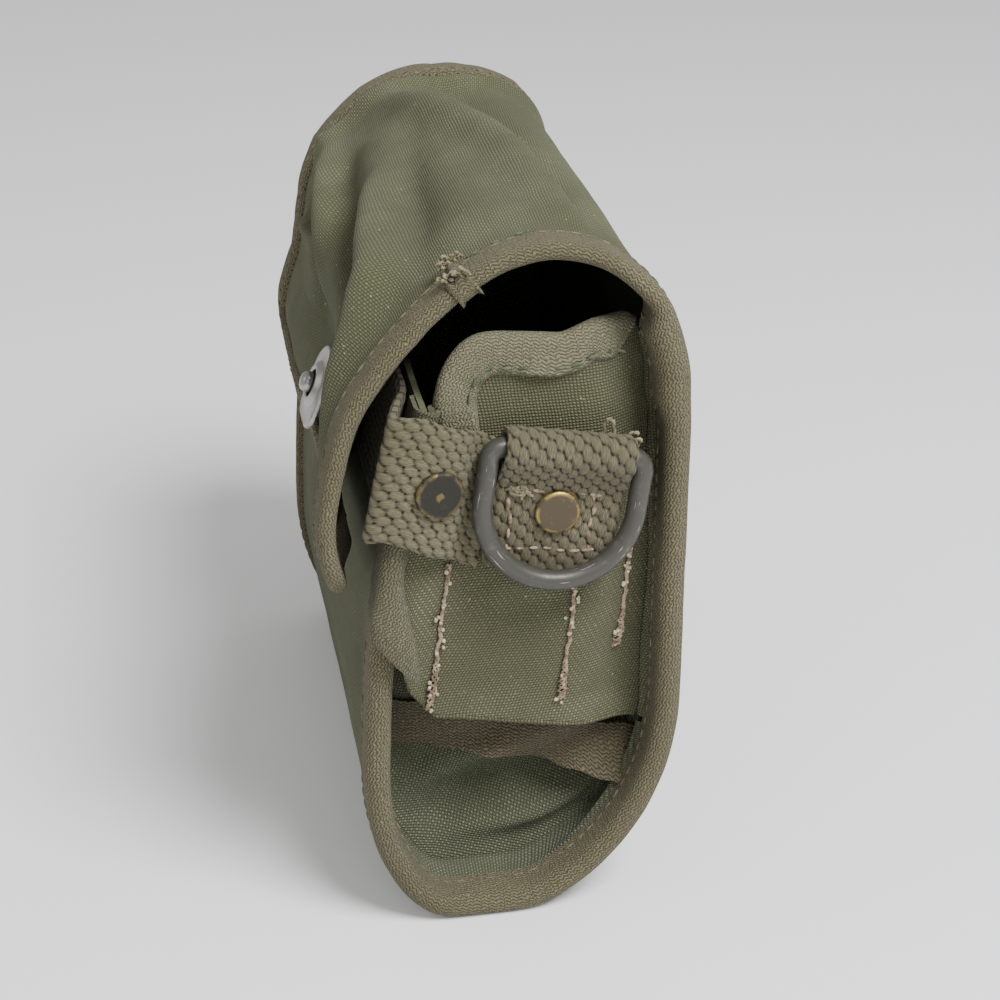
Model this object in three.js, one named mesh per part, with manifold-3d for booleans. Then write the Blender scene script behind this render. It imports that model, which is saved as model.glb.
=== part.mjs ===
// Canvas equipment pouch with a snap flap, bound ends and a D-ring at each end.
// Millimetres. X runs along the length, -Y is the front, Z is up.
import * as THREE from 'three';
import { mergeVertices } from 'three/addons/utils/BufferGeometryUtils.js';
import Module from 'manifold-3d';

const wasm = await Module();
wasm.setup();

// Overall sizes over the binding tape
const bagLength = 140;
const bagDepth = 65;
const bagHeight = 148.5;
const footSink = 2.4; // how far the round bottom is pressed flat by its own weight

// Cloth and the clearance between layers
const canvas = 1.3;
const tape = 0.9;
const gap = 0.3;
const bindingReach = 8.5; // width of each leaf of the folded tape
const frontLeafReach = 2.6; // inner leaf at the front corner, where the gusset bulges over it
const flapCorner = 12; // radius of the flap's lower corners
const lapHeight = 12; // overlap of the flap on the back wall

// Gussets
const frontRecess = 3.4; // depth of the upper gusset inside the rim, at its front
const middleRecess = 5; // and where the ring tab is sewn
const backRecess = 11.5; // and at the back wall
const lowerRecess = 15.8; // depth of the lower gusset
const turnRadius = 1.5; // turn from a gusset's face into its flange
const pleatReturn = 11; // cloth turned up behind the pleat's fold
const seamTapeWidth = 10;

// Webbing strap and ring tab
const webbing = 2;
const strapWidth = 25.4;
const strapRun = 28; // length of strap sewn on the front wall
const strapDrop = 9.1; // how far the strap droops from the corner to its end
const strapFlare = 0.5; // how far each quarter of its width spreads at the drooped end
const strapRivetReach = 10.2; // from the strap's end to its rivet
const tabWidth = 25.4;
const tabLength = 25.3; // from the ring's bar to the tab's lower edge
const tabTilt = THREE.MathUtils.degToRad(9.8);

// D-ring
const ringWire = 4;
const ringWidth = 34.4;
const ringHeight = 28; // from the bar's centre line to the outside of the bow
const ringCorner = 2.8;

// Rivets and the snap
const tabRivetHead = 9;
const strapRivetHead = 9.6;
const rivetShank = 3;
const rivetHeadHeight = 1.1;
const washerThickness = 0.7;
const socketWidth = 15;
const socketHeight = 18;
const socketThickness = 1;
const collarHeight = 1.1;
const studNeck = 3.2;
const studHead = 4.6;
const studBase = 9;
const studReach = 3.4; // how far the stud stands out of the socket plate

// The flap's edge at a rim, from its lower tip over the crest to the back wall.
// forward: distance in front of the back wall, as a share of bagDepth. up: share of bagHeight.
const flapTable = [
  { forward: 1.07, up: 0.508 },
  { forward: 1.118, up: 0.6 },
  { forward: 1.098, up: 0.686 },
  { forward: 1.032, up: 0.787 },
  { forward: 0.906, up: 0.869 },
  { forward: 0.748, up: 0.941 },
  { forward: 0.579, up: 0.987 },
  { forward: 0.41, up: 1 },
  { forward: 0.238, up: 0.977 },
  { forward: 0.085, up: 0.914 },
  { forward: 0.012, up: 0.827 },
  { forward: 0, up: 0.76 },
];

// The front wall's edge at a rim, from the round bottom to its free lip.
const frontTable = [
  { forward: 1, up: 0.2335 },
  { forward: 0.994, up: 0.32 },
  { forward: 0.978, up: 0.427 },
  { forward: 0.945, up: 0.547 },
  { forward: 0.889, up: 0.667 },
  { forward: 0.825, up: 0.79 },
];
const keelForward = 0.656; // lowest line of the bottom, in front of the back wall
const backCurveTop = 0.3336; // where the bottom's curve meets the back wall, share of bagHeight

// How the flap stands away from the right rim's outline, as shares of bagDepth.
// along: share of the way from tip to crest. middle: between the ends. left: at the left rim.
const flapRelax = [
  { along: 0, middle: -0.045, left: -0.05 },
  { along: 0.3, middle: -0.075, left: -0.12 },
  { along: 0.37, middle: -0.057, left: -0.115 },
  { along: 0.45, middle: -0.02, left: -0.095 },
  { along: 0.53, middle: 0.012, left: -0.06 },
  { along: 0.61, middle: 0.03, left: -0.03 },
  { along: 0.78, middle: 0.026, left: -0.03 },
  { along: 1, middle: 0.01, left: -0.065 },
  { along: 1.1, middle: 0, left: -0.05 },
  { along: 1.24, middle: 0, left: 0 },
];
// How much of the snap's dent the flap has on its middle line, from tip to crest
const snapDent = [
  { along: 0, dent: 0.15 },
  { along: 0.25, dent: 1 },
  { along: 0.33, dent: 1 },
  { along: 0.45, dent: 0.66 },
  { along: 0.6, dent: 0.25 },
  { along: 0.75, dent: 0 },
];
const snapUp = 0.632; // height of the snap, share of bagHeight
const snapPull = 0.078; // dent where the snap holds the flap in, share of bagDepth
const snapPullWidth = 0.22; // length of the dent's slope on each side, share of bagLength
const frontBulge = 0.045; // front wall's belly between the ends, share of bagDepth

// The gusset's top edge above a straight line from the front lip to the back.
// across: share of the way to the back. rise: share of bagHeight.
const mouthTable = [
  { across: 0, rise: 0 },
  { across: 0.03, rise: 0.056 },
  { across: 0.12, rise: 0.072 },
  { across: 0.28, rise: 0.065 },
  { across: 0.46, rise: 0.048 },
  { across: 0.6, rise: 0.034 },
  { across: 0.74, rise: 0.039 },
  { across: 0.92, rise: 0.023 },
  { across: 1, rise: 0 },
];

// The pleat's fold below a straight line from rim to rim, in the same columns.
const foldTable = [
  { across: 0, rise: 0 },
  { across: 0.15, rise: -0.114 },
  { across: 0.3, rise: -0.096 },
  { across: 0.45, rise: -0.078 },
  { across: 0.75, rise: -0.035 },
  { across: 0.9, rise: -0.01 },
  { across: 1, rise: 0 },
];
const foldFrontUp = 0.47; // where the fold meets the front rim, share of bagHeight
const foldBackUp = 0.265; // and the back wall
const seamFrontUp = 0.252; // lower edge of the seam tape at the front, share of bagHeight
const seamBackUp = 0.165; // and at the back wall
const lipBackUp = 0.867; // where the gusset's top edge meets the back wall
const tabBarForward = 0.375; // centre of the ring's bar, in front of the back wall
const tabBarUp = 0.717;
const strapUp = 0.703; // middle of the strap at the front corner

const rimX = bagLength / 2;
const innerX = rimX - flapCorner - 2; // the cloth keeps to the rim outline beyond this
const snapFlat = socketWidth / 2 + 1;
const { lerp, clamp, smoothstep } = THREE.MathUtils;
const shareOf = (table, key, value, at) => {
  const last = table.length - 1;
  const k = clamp(table.findIndex((row) => row[key] > at) - 1, 0, last - 1);
  if (at >= table[last][key]) return table[last][value];
  const step = (at - table[k][key]) / (table[k + 1][key] - table[k][key]);
  return lerp(table[k][value], table[k + 1][value], clamp(step, 0, 1));
};

// Outline of the rim in the Y-Z plane, as one open line: flap, back wall, bottom, front wall
const sectionPoint = (forward, up) =>
  new THREE.Vector2(bagDepth * (0.5 - forward), bagHeight * up);
const flapCurve = new THREE.SplineCurve(flapTable.map((row) => sectionPoint(row.forward, row.up)));
const frontCurve = new THREE.SplineCurve(frontTable.map((row) => sectionPoint(row.forward, row.up)));
const flapCurveLength = flapCurve.getLength();
const firstFacet = (bindingReach + 1) / flapCurveLength;

// A quarter of an ellipse that ends where the floor cuts it
function footCurve(forward, up) {
  const side = sectionPoint(forward, up);
  const keel = sectionPoint(keelForward, 0);
  const drop = side.y + footSink;
  const floorAngle = Math.asin(side.y / drop);
  return (t) => {
    const angle = lerp(0, floorAngle, t);
    return new THREE.Vector2(
      lerp(keel.x, side.x, Math.cos(angle)),
      t === 1 ? 0 : side.y - drop * Math.sin(angle),
    );
  };
}
const backFoot = footCurve(0, backCurveTop);
const frontFoot = footCurve(frontTable[0].forward, frontTable[0].up);

const outlinePoints = [];
function addStretch(curve, steps, from = 0, to = 1) {
  for (let i = outlinePoints.length ? 1 : 0; i <= steps; i += 1) {
    outlinePoints.push(curve(lerp(from, to, i / steps)));
  }
  return outlinePoints.length - 1;
}
addStretch((t) => flapCurve.getPointAt(t), 1, 0, firstFacet);
const flapEndIndex = addStretch((t) => flapCurve.getPointAt(t), 17, firstFacet, 1);
const backTop = outlinePoints[flapEndIndex];
const backLow = backFoot(0);
const backLowIndex = addStretch((t) => backTop.clone().lerp(backLow, t), 2);
const footBackIndex = addStretch(backFoot, 8);
addStretch((t) => backFoot(1).lerp(frontFoot(1), t), 1);
const frontLowIndex = addStretch((t) => frontFoot(1 - t), 6);
const lipIndex = addStretch((t) => frontCurve.getPointAt(t), 7);

const lengths = [0];
for (let i = 1; i < outlinePoints.length; i += 1) {
  lengths.push(lengths[i - 1] + outlinePoints[i].distanceTo(outlinePoints[i - 1]));
}
const facetNormals = outlinePoints.slice(1).map((point, i) => {
  const along = point.clone().sub(outlinePoints[i]).normalize();
  return new THREE.Vector2(-along.y, along.x);
});
// A vertex is offset along its mitre, so that every layer's facets stay parallel.
const mitres = outlinePoints.map((point, i) => {
  const before = facetNormals[Math.max(i - 1, 0)];
  const after = facetNormals[Math.min(i, facetNormals.length - 1)];
  const mitre = before.clone().add(after).normalize();
  return mitre.divideScalar(mitre.dot(after));
});

function outline(c) {
  const passed = lengths.filter((length) => length <= c).length;
  const k = clamp(passed - 1, 0, lengths.length - 2);
  const t = (c - lengths[k]) / (lengths[k + 1] - lengths[k]);
  return {
    point: outlinePoints[k].clone().lerp(outlinePoints[k + 1], t),
    mitre: mitres[k].clone().lerp(mitres[k + 1], t),
  };
}
// Length along the outline at which it reaches a height, between two of its points
function lengthAtHeight(z, fromIndex, toIndex) {
  for (let k = fromIndex; k < toIndex; k += 1) {
    const a = outlinePoints[k].y;
    const b = outlinePoints[k + 1].y;
    if ((a - z) * (b - z) <= 0 && a !== b) {
      return lerp(lengths[k], lengths[k + 1], (z - a) / (b - a));
    }
  }
  return lengths[toIndex];
}
const crestIndex = outlinePoints.reduce((best, p, i) => (p.y > outlinePoints[best].y ? i : best), 0);
const crestC = lengths[crestIndex];
const firstFacetC = lengths[1];
const lipC = lengths[lipIndex];
const bodyTopC = lengthAtHeight(bagHeight * lipBackUp, crestIndex, backLowIndex);
const flapEndC = bodyTopC + lapHeight;
const lapLeadIn = bindingReach - 1;
const foldBackC = lengthAtHeight(bagHeight * foldBackUp, flapEndIndex, footBackIndex);
const foldFrontC = lengthAtHeight(bagHeight * foldFrontUp, frontLowIndex, lipIndex);
const joinC = lengthAtHeight(bagHeight * 0.957, 0, crestIndex);
const snapC = lengthAtHeight(bagHeight * snapUp, 1, crestIndex);
const seatedAfter = flapEndC + 1;
const settledAfter = flapEndC + bindingReach;
const breaks = [bodyTopC - lapLeadIn, bodyTopC - 1, flapEndC, seatedAfter, settledAfter];

// Every station of the outline between two lengths, ends included
function between(from, to) {
  const low = Math.min(from, to);
  const high = Math.max(from, to);
  const inner = [...lengths, ...breaks].filter((c) => c > low + 0.5 && c < high - 0.5);
  const sorted = [low, ...inner.sort((a, b) => a - b), high];
  const kept = sorted.filter((c, i) => i === 0 || c - sorted[i - 1] > 0.4);
  return from < to ? kept : kept.reverse();
}

// Distance that the cloth stands out from the rim outline between the ends
function swell(x, c) {
  const relaxed = smoothstep((innerX - Math.abs(x)) / (rimX * 0.17), 0, 1);
  if (c < flapEndC) {
    const along = c / crestC;
    const middle = shareOf(flapRelax, 'along', 'middle', along);
    const leftRim = shareOf(flapRelax, 'along', 'left', along);
    const toLeft = 1 - smoothstep(x, -innerX, -rimX * 0.25);
    const set = x > 0 ? relaxed * middle : lerp(middle, leftRim, toLeft);
    const dent = 1 - smoothstep(Math.abs(x), snapFlat, snapFlat + bagLength * snapPullWidth);
    return bagDepth * (set - snapPull * dent * shareOf(snapDent, 'along', 'dent', along));
  }
  const frontStart = lengths[frontLowIndex];
  if (c <= frontStart) return 0;
  const along = (c - frontStart) / (lipC - frontStart);
  const belly = Math.sin(Math.PI * Math.min(1, along * 1.9)) * (1 - (x / rimX) ** 2);
  return relaxed * bagDepth * frontBulge * Math.max(0, belly);
}

// The body's layers lie deeper where the flap laps over the back wall.
const layer = canvas + gap;
const sheetInset = tape + gap;
const lapInset = (c) => {
  if (c <= seatedAfter) return layer;
  return layer * (1 - clamp((c - seatedAfter) / (settledAfter - seatedAfter), 0, 1));
};
const flangeInset = (c) => sheetInset + layer + lapInset(c);
function rimThickness(c) {
  const bare = 2 * tape + gap + layer;
  if (c < bodyTopC - 1) {
    return bare + 2 * layer * clamp((c - bodyTopC + lapLeadIn) / (lapLeadIn - 1), 0, 1);
  }
  return bare + layer + lapInset(c);
}
function skin(x, c, inset) {
  const { point, mitre } = outline(c);
  const out = swell(x, c) - inset;
  return new THREE.Vector3(x, point.x + mitre.x * out, point.y + mitre.y * out);
}

// Closed solid from vertices and triangles, turned so that its faces point out
function solid(positions, triangles) {
  let volume = 0;
  const cross = new THREE.Vector3();
  triangles.forEach(([a, b, c]) => {
    volume += positions[a].dot(cross.crossVectors(positions[b], positions[c]));
  });
  const geometry = new THREE.BufferGeometry().setFromPoints(positions);
  geometry.setIndex(triangles.flatMap(([a, b, c]) => (volume < 0 ? [a, c, b] : [a, b, c])));
  return geometry;
}
// Cloth between two matching grids of points
function sheet(grid) {
  const columns = grid[0].length;
  const lastRow = grid.length - 1;
  const lastColumn = columns - 1;
  const positions = grid.flatMap((row) => row.flatMap(({ top, under }) => [top, under]));
  const at = (i, j, side) => (i * columns + j) * 2 + side;
  const triangles = [];
  const quad = (a, b, c, d) => triangles.push([a, b, c], [a, c, d]);
  for (let i = 0; i < lastRow; i += 1) {
    for (let j = 0; j < lastColumn; j += 1) {
      quad(at(i, j, 0), at(i + 1, j, 0), at(i + 1, j + 1, 0), at(i, j + 1, 0));
      quad(at(i, j, 1), at(i, j + 1, 1), at(i + 1, j + 1, 1), at(i + 1, j, 1));
    }
    quad(at(i, 0, 0), at(i, 0, 1), at(i + 1, 0, 1), at(i + 1, 0, 0));
    quad(at(i, lastColumn, 0), at(i + 1, lastColumn, 0), at(i + 1, lastColumn, 1), at(i, lastColumn, 1));
  }
  for (let j = 0; j < lastColumn; j += 1) {
    quad(at(0, j, 0), at(0, j + 1, 0), at(0, j + 1, 1), at(0, j, 1));
    quad(at(lastRow, j, 0), at(lastRow, j, 1), at(lastRow, j + 1, 1), at(lastRow, j + 1, 0));
  }
  return solid(positions, triangles);
}
// Rings of points joined into a bar. Without caps the last ring meets the first.
function sweep(rings, caps) {
  const sides = rings[0].length;
  const spans = caps ? rings.length - 1 : rings.length;
  const at = (k, p) => (k % rings.length) * sides + (p % sides);
  const triangles = [];
  const quad = (a, b, c, d) => triangles.push([a, b, c], [a, c, d]);
  for (let k = 0; k < spans; k += 1) {
    for (let p = 0; p < sides; p += 1) quad(at(k, p), at(k, p + 1), at(k + 1, p + 1), at(k + 1, p));
  }
  (caps || []).forEach(([a, b, c, d]) => {
    quad(at(0, d), at(0, c), at(0, b), at(0, a));
    quad(at(spans, a), at(spans, b), at(spans, c), at(spans, d));
  });
  return solid(rings.flat(), triangles);
}
// Tape folded over an edge: place(station, reach in from the edge, depth under the outside)
function foldedTape(stations, place, thickness, innerReach = bindingReach) {
  const rings = stations.map((station) => {
    const thick = thickness(station);
    return [
      place(station, bindingReach, 0),
      place(station, 0, 0),
      place(station, 0, thick),
      place(station, innerReach, thick),
      place(station, innerReach, thick - tape),
      place(station, tape, thick - tape),
      place(station, tape, tape),
      place(station, bindingReach, tape),
    ];
  });
  return sweep(rings, [[0, 1, 6, 7], [1, 2, 5, 6], [2, 3, 4, 5]]);
}
function mirrored(geometry) {
  const copy = geometry.clone();
  copy.scale(-1, 1, 1);
  const index = copy.index.array;
  for (let i = 0; i < index.length; i += 3) {
    [index[i + 1], index[i + 2]] = [index[i + 2], index[i + 1]];
  }
  return copy;
}

// Joining and cutting of closed solids
function asManifold(geometry) {
  const bare = geometry.clone();
  bare.deleteAttribute('normal');
  bare.deleteAttribute('uv');
  const merged = mergeVertices(bare, 1e-4);
  return new wasm.Manifold(new wasm.Mesh({
    numProp: 3,
    vertProperties: new Float32Array(merged.attributes.position.array),
    triVerts: new Uint32Array(merged.index.array),
  }));
}
function asGeometry(manifold) {
  const mesh = manifold.getMesh();
  const geometry = new THREE.BufferGeometry();
  geometry.setAttribute('position', new THREE.BufferAttribute(mesh.vertProperties, 3));
  geometry.setIndex(new THREE.BufferAttribute(mesh.triVerts, 1));
  return geometry;
}
const holeSides = 10;
// Round hole along an axis, through everything near its centre
function bore(geometry, centre, axis, diameter, depth = bindingReach) {
  const radius = diameter / 2 / Math.cos(Math.PI / holeSides);
  const drill = new THREE.CylinderGeometry(radius, radius, 2 * depth, holeSides);
  drill.applyQuaternion(new THREE.Quaternion().setFromUnitVectors(THREE.Object3D.DEFAULT_UP, axis));
  drill.translate(centre.x, centre.y, centre.z);
  return asGeometry(asManifold(geometry).subtract(asManifold(drill)));
}

const bodyColumns = [-1, -0.8, -0.6, -0.3, 0, 0.3, 0.6, 0.8, 1];
const leafX = rimX - bindingReach;
const sheetEdge = rimX - tape - gap;
const withRims = (shares) => [-sheetEdge, ...shares.map((share) => share * leafX), sheetEdge];

function bodyPanel() {
  const rows = between(bodyTopC, lipC);
  return sheet(rows.map((c) => withRims(bodyColumns).map((x) => ({
    top: skin(x, c, sheetInset + lapInset(c)),
    under: skin(x, c, sheetInset + lapInset(c) + canvas),
  }))));
}

// The flap's columns crowd towards the snap dent and the flare at the rims.
const flapShares = [1, 0.9, 0.76, 0.54, 0.34, 0.17, 0];
const rightColumns = flapShares.map((share) => lerp(snapFlat, innerX, share));
const flapInner = [...rightColumns.map((x) => -x), 0, ...rightColumns.toReversed()];
// Half length of the flap at a distance from its lower edge, with the corner's radius
function flapHalf(c, radius) {
  const rise = Math.max(0, radius - c);
  return rimX - flapCorner + Math.sqrt(Math.max(0, radius ** 2 - rise ** 2));
}
function flapPanel() {
  const radius = flapCorner - tape - gap;
  const cornerRows = [0, 0.08, 0.3, 0.62].map((share) => tape + gap + share * radius);
  const rows = [...cornerRows, ...between(firstFacetC, flapEndC)];
  return sheet(rows.map((c) => {
    const half = flapHalf(c - tape - gap, radius);
    const outer = [half, lerp(innerX, half, 0.5)];
    const xs = [-outer[0], -outer[1], ...flapInner, outer[1], outer[0]];
    return xs.map((x) => ({ top: skin(x, c, sheetInset), under: skin(x, c, sheetInset + canvas) }));
  }));
}

// Edge of the flap as stations with a point and the direction into the cloth
function flapEdge() {
  const stations = between(flapCorner, joinC - gap)
    .reverse()
    .map((c) => ({ x: rimX, c, inX: -1, inC: 0 }));
  for (let k = 1; k <= 3; k += 1) {
    const angle = (Math.PI / 2) * (k / 4);
    stations.push({
      x: rimX - flapCorner * (1 - Math.cos(angle)),
      c: flapCorner * (1 - Math.sin(angle)),
      inX: -Math.cos(angle),
      inC: Math.sin(angle),
    });
  }
  stations.push({ x: rimX - flapCorner, c: 0, inX: 0, inC: 1 });
  const half = [...stations];
  const lower = flapInner.filter((x) => Math.abs(x) < rimX - flapCorner - 1);
  lower.reverse().forEach((x) => stations.push({ x, c: 0, inX: 0, inC: 1 }));
  half.reverse().forEach((s) => stations.push({ ...s, x: -s.x, inX: -s.inX }));
  return stations;
}
const tapeOverCanvas = 2 * tape + 2 * gap + canvas;
function flapEdgeBinding() {
  const place = (s, reach, depth) => skin(s.x + s.inX * reach, s.c + s.inC * reach, depth);
  return foldedTape(flapEdge(), place, () => tapeOverCanvas);
}

const alongRim = (side) => (c, reach, depth) => skin(side * (rimX - reach), c, depth);
const rimBinding = (side) =>
  foldedTape(between(joinC, foldFrontC - gap), alongRim(side), rimThickness);
const frontBinding = () => foldedTape(
  between(foldFrontC, lipC),
  alongRim(1),
  () => rimThickness(lipC),
  frontLeafReach,
);

// Upper gusset. across runs from the front rim to the back, v from the fold to the mouth.
const flangeEdge = rimX - tape - gap;
const midFlange = (c) => flangeInset(c) + canvas / 2;
const tabFace = rimX - middleRecess;
function upperFace(across) {
  const front = rimX - frontRecess;
  const back = rimX - backRecess;
  const face = lerp(front, tabFace, smoothstep(across, -0.12, 0.24));
  return lerp(face, back, smoothstep(across, 0.66, 1.06)) - canvas / 2;
}
const frontC = (v) => lerp(foldFrontC + turnRadius, lipC, v);
const backC = (v) => lerp(foldBackC, bodyTopC, v);
function upperPoint(across, v) {
  const cornerInset = (c) => midFlange(c) + turnRadius;
  const front = skin(rimX, frontC(v), cornerInset(frontC(v)));
  const back = skin(rimX, backC(v), cornerInset(backC(v)));
  const point = front.lerp(back, across);
  point.z += bagHeight * shareOf(mouthTable, 'across', 'rise', across) * smoothstep(v, 0.4, 0.95);
  point.z += bagHeight * shareOf(foldTable, 'across', 'rise', across) * (1 - smoothstep(v, 0, 0.6));
  point.x = upperFace(across);
  return point;
}
// Section from a flange's edge, round the turn, to the gusset's face
function turnIn(c, faceX) {
  const inset = midFlange(c);
  const { mitre } = outline(c);
  const inwards = new THREE.Vector3(0, -mitre.x, -mitre.y).normalize();
  const outwards = new THREE.Vector3(1, 0, 0);
  const diagonal = inwards.clone().add(outwards).normalize();
  const arc = turnRadius * (1 - Math.SQRT1_2);
  return [
    { point: skin(flangeEdge, c, inset), out: inwards },
    { point: skin(faceX + turnRadius, c, inset), out: inwards },
    { point: skin(faceX + arc, c, inset + arc), out: diagonal },
    { point: skin(faceX, c, inset + turnRadius), out: outwards },
  ];
}
function clothGrid(rows) {
  return rows.map((row) => row.map(({ point, out }) => ({
    top: point.clone().addScaledVector(out, canvas / 2),
    under: point.clone().addScaledVector(out, -canvas / 2),
  })));
}
const acrossSteps = [0.03, 0.1, 0.2, 0.3, 0.42, 0.54, 0.66, 0.78, 0.9];
const outX = new THREE.Vector3(1, 0, 0);
function upperPanelCloth() {
  const rows = between(bodyTopC, foldBackC).map((c) => (foldBackC - c) / (foldBackC - bodyTopC));
  return sheet(clothGrid(rows.map((v) => [
    ...turnIn(frontC(v), upperFace(0)),
    ...acrossSteps.map((across) => ({ point: upperPoint(across, v), out: outX })),
    ...turnIn(backC(v), upperFace(1)).reverse(),
  ])));
}
// Cloth turned round the fold and up behind the gusset
function pleatReturnCloth() {
  const radius = (canvas + 2 * gap) / 2;
  const rows = acrossSteps.slice(0, -1).map((across) => {
    const fold = upperPoint(across, 0);
    const turn = [0, 0.25, 0.5, 0.75, 1].map((share) => {
      const angle = Math.PI * share;
      const out = new THREE.Vector3(Math.cos(angle), 0, -Math.sin(angle));
      const point = fold.clone().addScaledVector(out, radius);
      point.x -= radius;
      return { point, out };
    });
    const end = turn[turn.length - 1];
    const raised = end.point.clone();
    raised.z += pleatReturn;
    return [...turn, { point: raised, out: end.out }];
  });
  return sheet(clothGrid(rows));
}
const tabSeat = (() => {
  const bar = sectionPoint(tabBarForward, tabBarUp);
  return new THREE.Vector3(tabFace, bar.x, bar.y);
})();
const tabDown = new THREE.Vector3(0, -Math.sin(tabTilt), -Math.cos(tabTilt));
const tabRivetAt = tabSeat.clone().addScaledVector(tabDown, tabLength * 0.49);
function upperPanel() {
  const cloth = asManifold(upperPanelCloth()).add(asManifold(pleatReturnCloth()));
  const holed = bore(asGeometry(cloth), tabRivetAt, outX, rivetShank + 2 * gap);
  return bore(holed, strapRivet.point, strapRivet.normal, rivetShank + 2 * gap, lowerRecess);
}
function mouthBinding() {
  const place = (across, reach, depth) => {
    const top = upperPoint(across, 1);
    const below = upperPoint(across, 0.8);
    const point = top.clone().lerp(below, (reach - tape - gap) / top.distanceTo(below));
    point.x += canvas / 2 + gap + tape - depth;
    return point;
  };
  return foldedTape(acrossSteps, place, () => tapeOverCanvas);
}

// Lower gusset, fanned from the round bottom up to a straight edge behind the pleat
const lowerX = rimX - lowerRecess - canvas / 2;
const lowerBackC = foldBackC + 1.5;
const lowerFrontC = foldFrontC - bindingReach;
const dishDepth = 3.5;
function lowerEdge(share) {
  const rise = 4;
  const front = skin(lowerX, lowerFrontC, midFlange(lowerFrontC) + turnRadius);
  const back = skin(lowerX, lowerBackC, midFlange(lowerBackC) + turnRadius);
  const point = back.lerp(front, share);
  point.z += rise;
  return point;
}
function lowerPanel() {
  const stations = between(lowerBackC, lowerFrontC);
  const rows = stations.map((c) => {
    const turn = turnIn(c, lowerX);
    const start = turn[turn.length - 1].point;
    const end = lowerEdge((c - lowerBackC) / (lowerFrontC - lowerBackC));
    const fan = [0.25, 0.5, 0.75, 1].map((t) => {
      const point = start.clone().lerp(end, t);
      const low = clamp((lowerEdge(0.5).z - lapHeight - point.z) / (bagHeight * 0.09), 0, 1);
      point.x -= dishDepth * low * Math.sin(Math.PI * Math.min(1, t * 1.4));
      return { point, out: outX };
    });
    return [...turn, ...fan];
  });
  return sheet(clothGrid(rows));
}
function seamTape() {
  const face = lowerX + canvas / 2 + gap;
  const rows = [0.09, 0.3, 0.5, 0.7, 0.93].map((share) => {
    const middle = lowerEdge(share);
    const top = lerp(seamBackUp, seamFrontUp, share) * bagHeight + seamTapeWidth;
    return [0, seamTapeWidth / 2, seamTapeWidth].map((drop) => ({
      top: new THREE.Vector3(face + tape, middle.y, top - drop),
      under: new THREE.Vector3(face, middle.y, top - drop),
    }));
  });
  return sheet(rows);
}

// Webbing strap round the front corner. Each row of its path is measured from the rim's corner.
const strapHalf = webbing / 2;
function tabFrontEdge(z) {
  return tabSeat.y - tabWidth / 2 / Math.cos(tabTilt) - (tabSeat.z - z) * Math.tan(tabTilt);
}
function strapSection(z, endY) {
  const c = lengthAtHeight(z, frontLowIndex, lipIndex);
  const corner = skin(rimX, c, 0).y;
  const stand = gap + strapHalf;
  const seat = tabFace + stand;
  const pastRim = corner + rimThickness(lipC) + 2 * gap;
  const runStart = rimX - bindingReach - strapRun;
  const onWall = (x) => skin(x, c, sheetInset - gap - strapHalf - 0.1).y;
  const onFront = [
    [runStart, onWall(runStart)],
    [lerp(runStart, leafX, 0.5), onWall(lerp(runStart, leafX, 0.5))],
    [leafX - 4, onWall(leafX - 4)],
    [leafX + 1, corner - stand],
    [rimX - 0.4, corner - stand],
    [rimX + stand * 0.75, corner - stand * 0.75],
  ];
  const onEnd = [
    [rimX + stand, corner + gap],
    [rimX + stand, pastRim],
    [lerp(rimX + stand, seat, 0.36), lerp(pastRim, endY, 0.38)],
    [lerp(rimX + stand, seat, 0.97), lerp(pastRim, endY, 0.6)],
    [seat, endY],
  ];
  const place = ([x, y]) => new THREE.Vector3(x, y, z);
  return { onFront: onFront.map(place), onEnd: onEnd.map(place) };
}
function strapGrid() {
  // From the corner on, the strap droops in a straight line towards its end.
  const rows = [-2, -1, 0, 1, 2].map((quarter) => {
    const level = bagHeight * strapUp + quarter * strapWidth / 4;
    const { onFront, onEnd } = strapSection(level, tabFrontEdge(level - strapDrop) - 2 * gap);
    const start = onEnd[0].y;
    const length = onEnd[onEnd.length - 1].y - start;
    onEnd.forEach((point) => {
      point.z += ((point.y - start) / length) * (quarter * strapFlare - strapDrop);
    });
    return [...onFront, ...onEnd];
  });
  const last = rows[0].length - 1;
  return rows.map((row, i) => row.map((point, k) => {
    const along = row[Math.min(k + 1, last)].clone().sub(row[Math.max(k - 1, 0)]);
    const up = rows[Math.min(i + 1, rows.length - 1)][k].clone().sub(rows[Math.max(i - 1, 0)][k]);
    return { point, out: along.cross(up).normalize() };
  }));
}
const strapRows = strapGrid();
const strapRivet = (() => {
  const row = strapRows[(strapRows.length - 1) / 2];
  const end = row[row.length - 1].point;
  const y = end.y - strapRivetReach;
  const k = row.findIndex(({ point }) => point.x > tabFace && point.y > y);
  const share = (y - row[k - 1].point.y) / (row[k].point.y - row[k - 1].point.y);
  const point = row[k - 1].point.clone().lerp(row[k].point, share);
  const normal = row[k - 1].out.clone().lerp(row[k].out, share).normalize();
  return { point, normal };
})();
function ringStrap() {
  const grid = strapRows.map((row) => row.map(({ point, out }) => ({
    top: point.clone().addScaledVector(out, strapHalf),
    under: point.clone().addScaledVector(out, -strapHalf),
  })));
  return bore(sheet(grid), strapRivet.point, strapRivet.normal, rivetShank + 2 * gap);
}

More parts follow.
